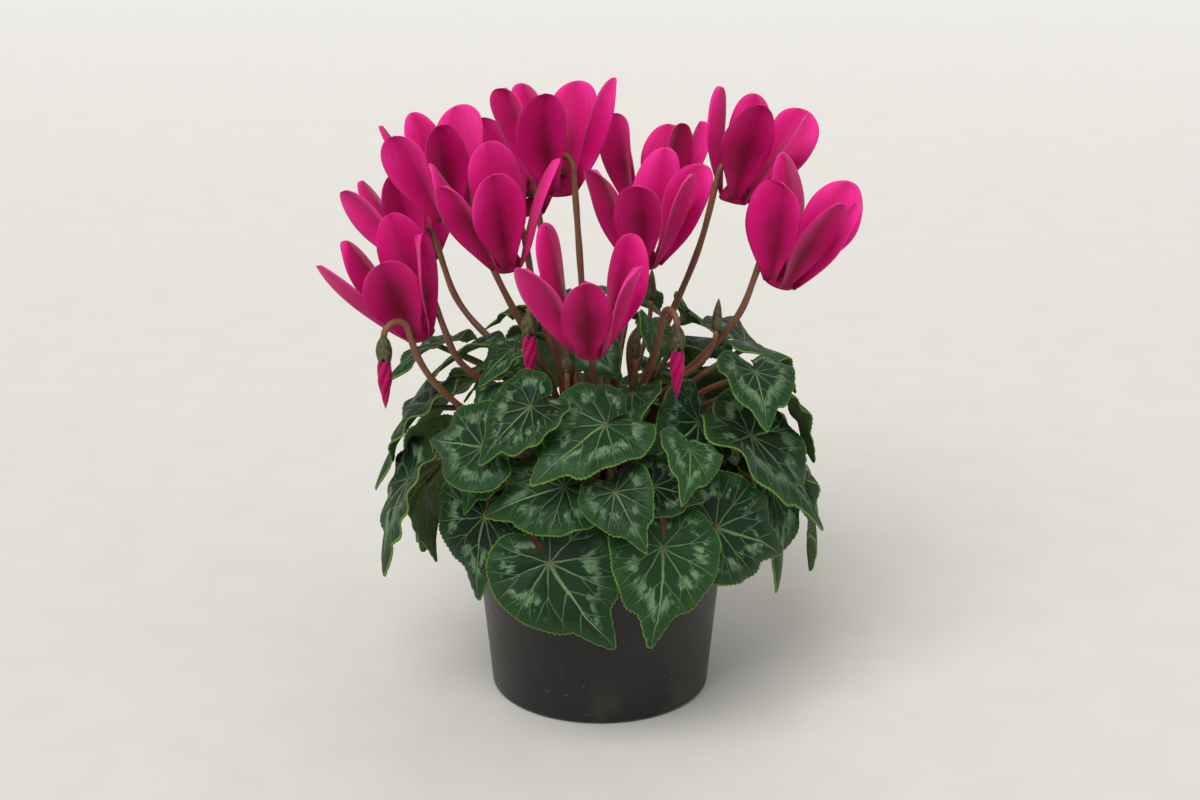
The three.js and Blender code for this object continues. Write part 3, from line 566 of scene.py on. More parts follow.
@functools.cache
def grown_plant():
    """Settles the large leaves, the young ones that share a stem, the small ones, and young buds."""
    placed = Placed()
    along, across = (v.ravel() for v in PETAL_SAMPLES)
    half_width = petal_half_width(along)
    for index, (*spot, size) in enumerate(BLOOMS):
        for petal in petals_of(index):
            placed.add(petal_point(size, bloom_frame(*spot), petal, half_width, across, along), KEEP_BLOOM)
        placed.add(bloom_stalk_route(*spot, size), KEEP_STEM)
    downs = np.linspace(0, CUP_LENGTH + BUD_LENGTH, 6)
    for bud in BUDS:
        placed.add(bud_frame(*bud).at(0 * downs, 0 * downs, -downs), KEEP_BUD)
        placed.add(bud_stalk_route(*bud), KEEP_STEM)
    dice = Dice(2024)
    wanted = [wanted_leaf(azimuth, row, ring, dice, 0) for azimuth, *row, ring in FRONT_LEAVES]
    for azimuths, (*row, ring) in LEAF_RINGS:
        wanted += [wanted_leaf(azimuth, row, ring, dice, 1) for azimuth in azimuths]
    leaves = []
    for index, leaf in enumerate(wanted):
        leaves.append(settle_leaf(leaf, dice, placed)[0])
        placed.add_leaf(leaves[-1], index)
    young = {}
    for i in range(YOUNG_COUNT):
        azimuth = YOUNG_FIRST + i * YOUNG_STEP
        free = [k for k, leaf in enumerate(leaves) if leaf["ring"] != "skirt" and k not in young]
        parent = min(free, key=lambda k: abs((leaves[k]["azimuth"] - azimuth + 180) % 360 - 180))
        fork = petiole_route(leaves[parent], leaf_frame(leaves[parent]))[FORK_POINT]
        row = wanted_leaf(azimuth, YOUNG_LEAF, leaves[parent]["ring"], dice, 1, parent, fork)
        young[parent] = settle_leaf(row, dice, placed)[0]
        placed.add_leaf(young[parent], parent)
    small = []
    for turn, (*row, ring) in itertools.product(range(SMALL_TURNS), SMALL_RINGS):
        wish = wanted_leaf(SMALL_FIRST + turn * SMALL_STEP, row, ring, dice, 0)
        wish["hidden_steps"] = SMALL_HIDDEN
        leaf, room = settle_leaf(wish, dice, placed)
        if room > SMALL_ROOM:
            small.append(leaf)
            placed.add_leaf(leaf, len(leaves) + len(small))
    stalks = [free_stalk(math.radians(azimuth), *spot, dice, placed) for azimuth, *spot in YOUNG_BUDS]
    return leaves, young, small, [stalk for stalk in stalks if stalk is not None]


# Materials

def arithmetic(operation, turned=False):
    """A method of Shade that adds one Math node, with its values turned round where it is reflected."""

    def method(self, *others):
        return self.math(operation, *((*others, self) if turned else (self, *others)))

    return method


class Shade:
    """A socket of a material. Arithmetic on it adds Math nodes, and node() adds any other node."""

    def __init__(self, tree, socket=None):
        self.tree = tree
        self.socket = socket

    def node(self, kind, settings, values, output=0):
        """A node of a type, with its settings and the values or links of its sockets."""
        made = self.tree.nodes.new(kind)
        for name, value in settings.items():
            setattr(made, name, value)
        for name, value in values.items():
            if isinstance(value, Shade):
                self.tree.links.new(value.socket, made.inputs[name])
            else:
                made.inputs[name].default_value = value
        return Shade(self.tree, made.outputs[output] if made.outputs else None)

    def math(self, operation, *values):
        return self.node("ShaderNodeMath", {"operation": operation}, dict(enumerate(values)))

    __add__ = __radd__ = arithmetic("ADD")
    __sub__ = arithmetic("SUBTRACT")
    __rsub__ = arithmetic("SUBTRACT", turned=True)
    __mul__ = __rmul__ = arithmetic("MULTIPLY")
    __truediv__ = arithmetic("DIVIDE")
    __abs__ = arithmetic("ABSOLUTE")
    least = arithmetic("MINIMUM")
    most = arithmetic("MAXIMUM")

    def rise(self, low, high):
        """0 below low and 1 above high, and smooth between them. It falls where low is the larger."""
        settings = {"interpolation_type": "SMOOTHSTEP", "clamp": True}
        return self.node("ShaderNodeMapRange", settings, {0: self, 1: low, 2: high, 3: 0.0, 4: 1.0})

    def blend(self, first, second):
        """The first colour where this is 0, and the second where it is 1."""
        colours = [colour if isinstance(colour, Shade) else rgba(colour) for colour in (first, second)]
        return self.node("ShaderNodeMix", {"data_type": "RGBA"}, {0: self, 6: colours[0], 7: colours[1]}, 2)

    def noise(self, where, scale, detail=2.0, roughness=0.5):
        values = {"Vector": where, "Scale": scale, "Detail": detail, "Roughness": roughness}
        return self.node("ShaderNodeTexNoise", {}, values)

    def place(self):
        return self.node("ShaderNodeTexCoord", {}, {}, 3)

    def map(self, name):
        return self.node("ShaderNodeUVMap", {"uv_map": name}, {})

    def attribute(self, name):
        return self.node("ShaderNodeAttribute", {"attribute_name": name}, {}, 2)

    def parts(self):
        """The three numbers of a vector."""
        made = self.node("ShaderNodeSeparateXYZ", {}, {0: self}).socket.node
        return [Shade(self.tree, output) for output in made.outputs]

    def join(self, x, y, z):
        return self.node("ShaderNodeCombineXYZ", {}, {0: x, 1: y, 2: z})


def rgba(colour):
    return (*colour, 1.0)


def material(name, specular=0.5, **constants):
    """Makes a paint function one that gives its finished material, which is made only once.

    The paint function gives the colour, the roughness, the height of the bump and its depth.
    """

    def wrap(paint):
        @functools.cache
        def finished():
            made = bpy.data.materials.new(name)
            made.use_nodes = True
            made.node_tree.nodes.clear()
            shade = Shade(made.node_tree)
            colour, roughness, height, depth = paint(shade, bpy.context.scene.cyclamen_colours)
            normal = shade.node("ShaderNodeBump", {}, {"Strength": 1.0, "Distance": depth, "Height": height})
            values = {"Base Color": colour, "Roughness": roughness, "Normal": normal}
            values |= {"Specular IOR Level": specular, **constants}
            surface = shade.node("ShaderNodeBsdfPrincipled", {}, values)
            shade.node("ShaderNodeOutputMaterial", {}, {0: surface})
            return made

        return finished

    return wrap


def vein(w, q, angle, start=(0.0, 0.0), width=0.009):
    """How near a point is to a vein that runs off at an angle from the midrib."""
    sine, cosine = math.sin(math.radians(angle)), math.cos(math.radians(angle))
    x, y = w - start[0], q - start[1]
    ahead = x * sine + y * cosine
    behind = (0.0 - ahead).most(0.0)
    narrowing = width * (1.15 - ahead.most(0.0)).most(0.25)
    return (abs(x * cosine - y * sine) + behind) / narrowing


@material("cyclamen leaf", 0.19)
def leaf_material(shade, looks):
    where = shade.place()
    share, skin, tone = shade.attribute("share"), shade.attribute("skin"), shade.attribute("tone")
    wobble = shade.noise(where, 130.0, 2.0)
    across, along, _ = shade.map("leaf_plane").parts()
    bend = shade.noise(where, 38.0, 1.0) - 0.5
    w = abs(across + (wobble - 0.5) * 0.05 + bend * share * 0.16)
    q = along + (shade.noise(where, 170.0, 2.0) - 0.5) * 0.05

    # Side veins are uneven, because a noise that runs round the leaf thins some of them.
    turn = w.math("ARCTAN2", w, q)
    side = across.rise(-0.02, 0.02)
    luck = shade.noise(shade.join(turn * 1.3 + side * 5.0, tone * 37.0, 0.0), 1.6, 1.0)
    midrib = vein(w, q, 0, width=0.015)
    mains = midrib
    for angle, width in zip(VEIN_ANGLES[1:], (0.010, 0.009, 0.007, 0.006)):
        mains = mains.least(vein(w, q, angle, width=width) + (0.5 - luck).most(0.0) * share * 7.0)
    twigs = vein(w, q, 42, (0.0, 0.3), 0.007).least(vein(w, q, 38, (0.0, 0.52), 0.006))
    for angle, reach in zip(VEIN_ANGLES[1:], (0.3, 0.26, 0.26, 0.24)):
        foot = (reach * math.sin(math.radians(angle)), reach * math.cos(math.radians(angle)))
        for branch in (angle - 27, angle + 25):
            twigs = twigs.least(vein(w, q, branch, foot, 0.006))
    main_vein = (mains.rise(1.6, 0.5) * (0.85 - share * 0.4)).most(midrib.rise(1.6, 0.5))
    main_vein = main_vein * (share.rise(0.0, 0.3) * 0.45 + 0.55)
    twig_vein = twigs.rise(1.7, 0.5)

    # The silver marbling is a broken ring, feathered along the lines from the stem to the edge.
    blots = shade.noise(shade.join(turn * 1.7 + side * 9.0, share * 1.4, tone * 90.0), 1.7, 2.0)
    streaks = shade.noise(shade.join(turn * 11.0 + side * 9.0, share * 1.5, tone * 40.0), 2.4, 4.0, 0.65)
    crumbled = shade.noise(where, 520.0, 3.0, 0.6)
    ring = share + (blots - 0.5) * 0.3 + (streaks - 0.5) * 0.34
    band = ring.rise(0.53, 0.61) * ring.rise(0.84, 0.69)
    patches = (blots + (crumbled - 0.5) * 0.45).rise(0.43, 0.56)
    fancy = shade.noise(shade.join(tone * 71.0, 0.0, 0.0), 1.0, 1.0).rise(0.25, 0.6) * 0.6 + 0.4
    silver = band * patches * streaks.rise(0.3, 0.48) * (1.0 - mains.rise(3.0, 1.4) * 0.5)
    flecks = crumbled.rise(0.64, 0.7) * share.rise(0.45, 0.8) * 0.35
    silver = silver.most(flecks) * fancy * (crumbled.rise(0.35, 0.6) * 0.35 + 0.65)
    margin = (share + (wobble - 0.5) * 0.02).rise(0.972, 0.992)
    fading = share.rise(1.05, 0.75)

    top = shade.noise(where, 60.0, 3.0).rise(0.3, 0.7).blend(looks.leaf_dark, looks.leaf_green)
    for amount, colour in (
        (tone * 0.7, looks.leaf_fresh),
        (share.rise(0.7, 1.0) * 0.5, looks.leaf_fresh),
        (silver * 0.85, looks.leaf_silver),
        (twig_vein * fading * 0.32, looks.leaf_vein),
        (main_vein * (0.35 + fading * 0.45), looks.leaf_vein),
        (margin * 0.85, looks.leaf_edge),
        (share.rise(0.065, 0.02) * 0.7, looks.stem_red),
    ):
        top = amount.blend(top, colour)
    under = main_vein.most(twig_vein * 0.6).blend(looks.leaf_under, looks.leaf_vein)
    puckers = shade.noise(where, 420.0, 2.0)
    height = puckers * 0.35 - main_vein * 0.9 - twig_vein * 0.5 + shade.noise(where, 1800.0, 1.0) * 0.12
    return skin.rise(0.55, 0.95).blend(under, top), 0.40 + puckers * 0.22 + silver * 0.1, height, 0.0005


@material("leaf stem", 0.4)
def stem_material(shade, looks):
    where = shade.place()
    grain = shade.noise(where, 260.0, 2.0)
    blush = (shade.attribute("along") + (grain - 0.5) * 0.3).rise(0.55, 1.05)
    base = blush.blend(looks.stem_red, looks.stem_green)
    colour = (grain.rise(0.55, 0.8) * 0.3).blend(base, looks.stem_dark)
    return colour, 0.42 + grain * 0.2, shade.noise(where, 900.0, 2.0), 0.0002


@material("flower stalk", 0.45)
def stalk_material(shade, looks):
    where = shade.place()
    grain = shade.noise(where, 240.0, 3.0)
    blush = (shade.attribute("along") + (grain - 0.5) * 0.35).rise(0.2, 0.95)
    base = blush.blend(looks.stem_red, looks.stalk_brown)
    colour = (grain.rise(0.5, 0.8) * 0.4).blend(base, looks.stem_dark)
    return colour, 0.4 + grain * 0.2, shade.noise(where, 900.0, 2.0), 0.0002


@material("sepals")
def sepal_material(shade, looks):
    where = shade.place()
    grain = shade.noise(where, 700.0, 3.0)
    colour = grain.rise(0.35, 0.65).blend(looks.sepal_dark, looks.sepal_green)
    return colour, 0.5 + grain * 0.2, shade.noise(where, 1500.0, 2.0), 0.0002


@material("petals", 0.15, **{"Sheen Weight": 0.12, "Sheen Roughness": 0.4})
def petal_material(shade, looks):
    where = shade.place()
    across, along, _ = shade.map("petal_plane").parts()
    tone = shade.attribute("tone")
    threads = shade.noise(shade.join(across * 26.0, along * 1.6, tone * 50.0), 1.0, 3.0, 0.6)
    cloud = shade.noise(where, 90.0, 3.0)
    edge = abs(across * 2.0 - 1.0)
    # This sum makes a petal darker along its middle and at its foot, and lighter towards its edges and tip.
    # Its clouds and tone are the petal's own. The dark middle is partly the petal's own deeper colour and
    # partly painted shade in its fold, and the light edges and tip are a painted highlight.
    flush_and_painted_light = edge * 0.6 + 0.09 + along.rise(0.4, 1.0) * 0.36 + (cloud - 0.5) * 0.5 + (tone - 0.5) * 0.35
    # The deep colour along the middle is partly the petal's own and partly painted shade in the fold.
    colour = flush_and_painted_light.rise(-0.12, 0.6).blend(looks.petal_deep_and_shade, looks.petal)
    # A painted highlight on the petal's edges and tip.
    colour = (flush_and_painted_light.rise(0.5, 1.2) * 0.9).blend(colour, looks.petal_highlight)
    colour = (threads.rise(0.5, 0.7) * 0.2).blend(colour, looks.petal_deep_and_shade)
    colour = (along.rise(0.25, 0.0) * 0.75).blend(colour, looks.petal_mouth)
    return colour, 0.5 + cloud * 0.15, threads * 0.5 + shade.noise(where, 2500.0, 2.0) * 0.12, 0.00035


@material("black plastic", 0.4)
def black_plastic(shade, looks):
    where = shade.place()
    x, y, z = where.parts()
    flow = shade.noise(shade.join(x * 0.25, y * 0.25, z), 160.0, 3.0)
    drawn = shade.noise(shade.join(x * 0.03, y * 0.03, z), 900.0, 2.0)
    specks = shade.noise(where, 620.0, 2.0).rise(0.71, 0.76)
    film = shade.noise(shade.join(x, y, z * 0.5), 45.0, 4.0, 0.7).rise(0.45, 0.75)
    scuffs = shade.noise(shade.join(x, y, z * 9.0), 110.0, 4.0, 0.7).rise(0.62, 0.72)
    colour = (film * (0.12 + z.rise(0.016, 0.0) * 0.3)).blend(looks.pot_black, looks.pot_dust)
    colour = (scuffs * 0.4).blend(colour, looks.pot_dust)
    colour = (specks * 0.8).blend(colour, looks.pot_dust)
    height = flow * 0.6 + drawn * 0.25 + shade.noise(where, 60.0, 2.0) + specks * 0.6
    return colour, 0.3 + flow * 0.14 + scuffs * 0.2 + film * 0.15, height, 0.0004


@material("terracotta plastic")
def terracotta_plastic(shade, looks):
    where = shade.place()
    cloud = shade.noise(where, 90.0, 3.0)
    dust = shade.noise(where, 1100.0, 3.0, 0.7).rise(0.6, 0.75)
    colour = cloud.rise(0.3, 0.7).blend(looks.terracotta, looks.terracotta_dark)
    return (dust * 0.5).blend(colour, looks.soil), 0.5 + cloud * 0.2, cloud + dust * 0.5, 0.0003


@material("peat", 0.2)
def peat_material(shade, looks):
    where = shade.place()
    crumbs = shade.noise(where, 420.0, 5.0, 0.7)
    fibres = shade.noise(where, 1500.0, 3.0).rise(0.62, 0.72)
    colour = crumbs.rise(0.35, 0.65).blend(looks.soil, looks.soil_light)
    return (fibres * 0.5).blend(colour, looks.fibre), 0.9 + crumbs * 0.08, crumbs, 0.002


@material("tuber skin", 0.3)
def tuber_material(shade, looks):
    cork = shade.noise(shade.place(), 260.0, 5.0, 0.65)
    return cork.rise(0.35, 0.65).blend(looks.tuber_dark, looks.tuber_brown), 0.7 + cork * 0.2, cork, 0.0015


@material("pale floor", 0.2)
def floor_material(shade, looks):
    where = shade.place()
    cloth = shade.noise(where, 45.0, 4.0)
    colour = (cloth.rise(0.35, 0.7) * 0.5).blend(looks.floor, looks.floor_shade)
    colour = where.parts()[1].rise(0.0, 2.2).blend(colour, looks.backdrop)
    return colour, 0.8 + cloth * 0.1, cloth, 0.0002


# Mesh making

def new_mesh():
    """An empty mesh with room for the numbers and maps that the materials read."""
    bm = bmesh.new()
    for name in ("share", "skin", "tone", "along"):
        bm.verts.layers.float.new(name)
    for name in ("leaf_plane", "petal_plane"):
        bm.loops.layers.uv.new(name)
    return bm


def grid_verts(bm, columns, rows):
    """A flat grid of faces, with each vertex's place on it as two arrays from 0 to 1."""
    made = bmesh.ops.create_grid(bm, x_segments=columns, y_segments=rows, size=1)["verts"]
    flat = np.array([v.co for v in made])
    return made, (flat[:, 0] + 1) / 2, (flat[:, 1] + 1) / 2


def move_verts(verts, points):
    for vert, point in zip(verts, points * MM):
        vert.co = point


def mark_verts(bm, verts, **values):
    """Writes numbers on vertices, each either one for all or an array."""
    for name, value in values.items():
        layer = bm.verts.layers.float[name]
        for vert, number in zip(verts, np.broadcast_to(value, len(verts))):
            vert[layer] = number


def map_faces(bm, faces, name, places):
    """A UV map from a table of each vertex's two coordinates."""
    layer = bm.loops.layers.uv[name]
    for face in faces:
        for loop in face.loops:
            loop[layer].uv = places[loop.vert]


def faces_of(verts):
    return list({face for vert in verts for face in vert.link_faces})


def merge(bm, verts):
    bmesh.ops.remove_doubles(bm, verts=verts, dist=MERGE_DISTANCE)


def fill_ends(bm, sides, slot=0):
    """Closes every open end with a face."""
    edges = [edge for edge in bm.edges if edge.is_boundary]
    for face in bmesh.ops.holes_fill(bm, edges=edges, sides=sides)["faces"]:
        face.material_index = slot


def sheet(bm, counts, shape, uv_name, uv_places, thickness, **marks):
    """A thin closed sheet. shape gives points for u, v and a lift, and uv_places gives its map."""
    verts, u, v = grid_verts(bm, *counts)
    marks = {name: value(v) if callable(value) else value for name, value in marks.items()}
    copied = bmesh.ops.extrude_face_region(bm, geom=faces_of(verts), use_keep_orig=True)["geom"]
    below = [vert for vert in copied if isinstance(vert, bmesh.types.BMVert)]
    spots = {vert.co.to_tuple(5)[:2]: vert for vert in below}
    lower = [spots[vert.co.to_tuple(5)[:2]] for vert in verts]
    coordinates = np.stack(uv_places(u, v), axis=1)
    map_faces(bm, faces_of(verts + lower), uv_name, dict(zip(verts + lower, np.tile(coordinates, (2, 1)))))
    for layer, skin in ((verts, 1.0), (lower, 0.0)):
        move_verts(layer, shape(u, v, (skin - 0.5) * thickness / MM))
        mark_verts(bm, layer, skin=skin, **marks)
    merge(bm, verts + lower)


def smooth_route(points, count):
    """A route through points, evenly stepped, by a Catmull-Rom curve."""
    padded = np.concatenate((2 * points[:1] - points[1:2], points, 2 * points[-1:] - points[-2:-1]))
    lengths = np.concatenate(([0], np.cumsum(np.linalg.norm(np.diff(points, axis=0), axis=1))))
    where = np.linspace(0, lengths[-1], count + 1)
    k = np.clip(np.searchsorted(lengths, where, side="right") - 1, 0, len(points) - 2)
    t = ((where - lengths[k]) / (lengths[k + 1] - lengths[k]))[:, None]
    a, b, c, d = (padded[k + i] for i in range(4))
    return 0.5 * (2 * b + (c - a) * t + (2 * a - 5 * b + 4 * c - d) * t**2 + (3 * b - a - 3 * c + d) * t**3)


def tube(bm, route, radii, sides, slot=0):
    """A round stem along a route, closed at both ends. along runs from 0 at its foot to 1."""
    steps = len(route) - 1
    verts, u, v = grid_verts(bm, steps, sides)
    step = np.rint(u * steps).astype(int)
    heading = np.gradient(route, axis=0)
    heading /= np.linalg.norm(heading, axis=1)[:, None]
    side = np.cross(heading[0], SIDEWAYS)
    one = np.empty_like(heading)
    for i, direction in enumerate(heading):
        one[i] = side = unit(side - direction * (side @ direction))
    two = np.cross(heading, one)
    angle = FULL_TURN * v[:, None]
    spread = one[step] * np.cos(angle) + two[step] * np.sin(angle)
    move_verts(verts, route[step] + spread * radii[step][:, None])
    mark_verts(bm, verts, along=u, skin=1.0)
    for face in faces_of(verts):
        face.material_index = slot
    merge(bm, verts)
    fill_ends(bm, sides, slot)


def hooked_stalk(route, steps, dice):
    """A mesh with a flower stalk that is a little uneven, and thinner towards its hook."""
    bm = new_mesh()
    route = smooth_route(route, steps)
    along = np.linspace(0, 1, len(route))
    uneven = 1 + 0.06 * np.sin(along * 40 + dice.between(0, 6))
    tube(bm, route, STALK_RADIUS * uneven * (1.05 - 0.2 * along), 12)
    return bm


def turned(bm, place, profile, steps, slot=0):
    """A profile of radius and height turned round a frame's up axis, closed on the axis."""
    verts = [bm.verts.new(place.at(radius, 0, height) * MM) for radius, height in profile]
    edges = [bm.edges.new(pair) for pair in zip(verts, verts[1:])]
    before = set(bm.faces)
    turn = {"cent": place.origin * MM, "axis": place.up, "angle": FULL_TURN, "steps": steps}
    bmesh.ops.spin(bm, geom=verts + edges, use_merge=True, **turn)
    faces = [face for face in bm.faces if face not in before]
    for face in faces:
        face.material_index = slot
    merge(bm, list({vert for face in faces for vert in face.verts}))


def add_object(name, data):
    made = bpy.data.objects.new(name, data)
    bpy.context.scene.collection.objects.link(made)
    return made


def mesh_object(name, bm, materials=()):
    mesh = bpy.data.meshes.new(name)
    bm.to_mesh(mesh)
    bm.free()
    for coat in materials:
        mesh.materials.append(coat)
    return add_object(name, mesh)


def finish_piece(name, bm, materials, replaced, smooth=True):
    """Makes the mesh an object that rides on the part's one body and stands for a node."""
    bmesh.ops.recalc_face_normals(bm, faces=bm.faces)
    for face in bm.faces:
        face.smooth = smooth
    piece = mesh_object(name, bm, materials)
    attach(piece, "root")
    if replaced:
        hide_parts(replaced)
    return piece


def check_place(piece, node, slack):
    """Stops where a piece doesn't lie where its node does."""
    points = np.array([vert.co for vert in piece.data.vertices])
    apart = np.abs(np.array((points.min(0), points.max(0))) - np.array(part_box(node))).max()
    if apart > slack:
        raise RuntimeError(f"{piece.name} is {apart / MM:.2f} mm off {node}")


def smooth_turn(profile, rounding=3):
    """The profile with each inner corner cut back into a short arc."""
    points = np.array(profile, float)
    out = [points[0]]
    for before, corner, after in zip(points, points[1:], points[2:]):
        cut = min(np.linalg.norm(before - corner), np.linalg.norm(after - corner)) * CORNER_CUT
        first, last = corner + unit(before - corner) * cut, corner + unit(after - corner) * cut
        for t in np.linspace(0, 1, rounding + 1):
            out.append((1 - t) ** 2 * first + 2 * t * (1 - t) * corner + t * t * last)
    out.append(points[-1])
    return out


def cut_drains(piece):
    """Cuts the round drain holes through a pot's floor."""
    bm = bmesh.new()
    radius, circle, count, reach = DRAIN.values()
    for i in range(count):
        turn = math.radians(45 + 360 / count * i)
        cutter = Frame((circle * math.cos(turn), circle * math.sin(turn), 0), *UPRIGHT)
        turned(bm, cutter, ((0, -reach), (radius, -reach), (radius, reach), (0, reach)), 24)
    bmesh.ops.recalc_face_normals(bm, faces=bm.faces)
    cutters = mesh_object("drain holes", bm)
    modifier = piece.modifiers.new("drains", "BOOLEAN")
    modifier.operation = "DIFFERENCE"
    modifier.solver = "EXACT"
    modifier.object = cutters
    graph = bpy.context.evaluated_depsgraph_get()
    cut = bpy.data.meshes.new_from_object(piece.evaluated_get(graph))
    piece.modifiers.clear()
    piece.data = cut
    bpy.data.objects.remove(cutters)


# What the sidebar shows

def length_property(name, description, default):
    return FloatProperty(name=name, description=description, default=default, unit="LENGTH")


def colour_property(name, description, default):
    limits = {"min": 0, "max": 1, "subtype": "COLOR"}
    return FloatVectorProperty(name=name, description=description, default=default, **limits)


class CyclamenSizes(PropertyGroup):
    leaf_thickness: length_property("Leaf thickness", "Thickness of a blade", 0.55 * MM)
    petal_thickness: length_property("Petal thickness", "Thickness of a petal", 0.5 * MM)
    teeth: IntProperty(name="Teeth", description="Teeth round a full leaf", default=84, min=20, max=120)
    tooth_depth: FloatProperty(name="Tooth depth", description="As a share of the reach", default=0.024)
    crumbs: IntProperty(name="Crumbs", description="Loose crumbs on the soil", default=220, min=0, max=600)
    camera_away: length_property("Camera distance", "Level distance to the camera", 0.75)
    camera_up: length_property("Camera height", "Height of the camera", 0.365)
    aim: length_property("Aim height", "Height that the camera looks at", 0.101)
    lens: FloatProperty(name="Lens", description="Focal length in millimetres", default=72.0)


class CyclamenColours(PropertyGroup):
    leaf_dark: colour_property("Leaf dark", "Deepest green of a blade", (0.003, 0.012, 0.0065))
    leaf_green: colour_property("Leaf green", "Green of a blade", (0.006, 0.028, 0.0105))
    leaf_fresh: colour_property("Fresh leaf", "Green of a younger blade", (0.022, 0.092, 0.017))
    leaf_silver: colour_property("Leaf silver", "The marbling", (0.17, 0.31, 0.155))
    leaf_vein: colour_property("Leaf vein", "Veins of a blade", (0.20, 0.32, 0.14))
    leaf_edge: colour_property("Leaf edge", "Toothed edge of a blade", (0.19, 0.29, 0.055))
    leaf_under: colour_property("Leaf underside", "Lower face of a blade", (0.11, 0.22, 0.06))
    stem_red: colour_property("Stem red", "Foot of the stems", (0.16, 0.055, 0.03))
    stem_green: colour_property("Stem green", "Leaf stems near the blade", (0.14, 0.16, 0.05))
    stem_dark: colour_property("Stem dark", "Dark flecks on the stems", (0.03, 0.012, 0.01))
    stalk_brown: colour_property("Stalk brown", "Flower stalks", (0.20, 0.085, 0.04))
    sepal_green: colour_property("Sepal green", "Sepals", (0.10, 0.11, 0.03))
    sepal_dark: colour_property("Sepal dark", "Dark marks on the sepals", (0.045, 0.022, 0.014))
    petal: colour_property("Petal", "Petals in the light", (0.60, 0.002, 0.155))
    # Besides veins and clouds, this colour is also painted shade along the middle of each petal, in its fold.
    petal_deep_and_shade: colour_property("Petal deep", "Deeper veins and clouds of a petal", (0.19, 0.0, 0.028))
    # A painted highlight on the petals' edges and tips.
    petal_highlight: colour_property("Petal edge", "Edge of a petal", (0.96, 0.03, 0.34))
    petal_mouth: colour_property("Petal mouth", "Petals at the mouth", (0.24, 0.0, 0.04))
    pot_black: colour_property("Pot black", "Outer pot", (0.0085, 0.0085, 0.0088))
    pot_dust: colour_property("Pot dust", "Scuffs and dust on the outer pot", (0.11, 0.10, 0.085))
    terracotta: colour_property("Terracotta", "Nursery pot", (0.34, 0.09, 0.05))
    terracotta_dark: colour_property("Terracotta shade", "Clouds of the nursery pot", (0.25, 0.06, 0.035))
    soil: colour_property("Soil", "Peat", (0.02, 0.012, 0.008))
    soil_light: colour_property("Soil light", "Paler peat", (0.06, 0.035, 0.02))
    fibre: colour_property("Fibre", "Fibres in the peat", (0.16, 0.10, 0.06))
    tuber_brown: colour_property("Tuber", "Skin of the tuber", (0.14, 0.08, 0.045))
    tuber_dark: colour_property("Tuber dark", "Cracks of the tuber", (0.04, 0.022, 0.014))
    floor: colour_property("Floor", "The pale floor", (0.74, 0.725, 0.675))
    floor_shade: colour_property("Floor shade", "Faint clouds of the floor", (0.70, 0.685, 0.635))
    backdrop: colour_property("Backdrop", "The pale surround", (0.86, 0.85, 0.82))


class CyclamenOperator:
    bl_options = {"REGISTER", "UNDO"}


class CYCLAMEN_OT_outer_pot(CyclamenOperator, Operator):
    """Turns the black outer pot with its flange and drain holes"""

    bl_idname = "cyclamen.outer_pot"
    bl_label = "Outer pot"

    def execute(self, context):
        base, top, height, wall, flange, lip, corner = OUTER_POT.values()
        brim = top + flange
        profile = [
            (0, 0), (base - corner, 0), (base - 0.2, 0.6), (base, corner),
            (top - (top - base) / height * lip, height - lip), (top + 1, height - wall),
            (brim - wall, height - wall), (brim - wall, height - lip), (brim, height - lip), (brim, height),
            (top - wall, height), (base - wall, corner), (base - corner, wall), (0, wall),
        ]
        bm = new_mesh()
        turned(bm, GROUND, smooth_turn(profile), POT_STEPS)
        cut_drains(finish_piece("black_pot", bm, [black_plastic()], "outer_pot"))
        return {"FINISHED"}


class CYCLAMEN_OT_inner_pot(CyclamenOperator, Operator):
    """Turns the terracotta-coloured nursery pot with its collar"""

    bl_idname = "cyclamen.inner_pot"
    bl_label = "Nursery pot"

    def execute(self, context):
        base, top, rim, height, wall = INNER_POT.values()
        profile = [
            (0, INNER_FLOOR), (base - 2, INNER_FLOOR), (base, INNER_FLOOR + 2),
            (top, COLLAR_FOOT), (rim - 0.9, COLLAR_FOOT), (rim, height - 1.4), (rim - 0.5, height),
            (rim - wall - 0.5, height), (rim - wall - 1.1, COLLAR_FOOT + wall),
            (top - wall, COLLAR_FOOT + wall - 0.6), (base - wall, INNER_FLOOR + 2.4),
            (base - 2.6, INNER_FLOOR + wall), (0, INNER_FLOOR + wall),
        ]
        bm = new_mesh()
        turned(bm, GROUND, smooth_turn(profile), POT_STEPS)
        cut_drains(finish_piece("nursery_pot", bm, [terracotta_plastic()], "inner_pot"))
        return {"FINISHED"}


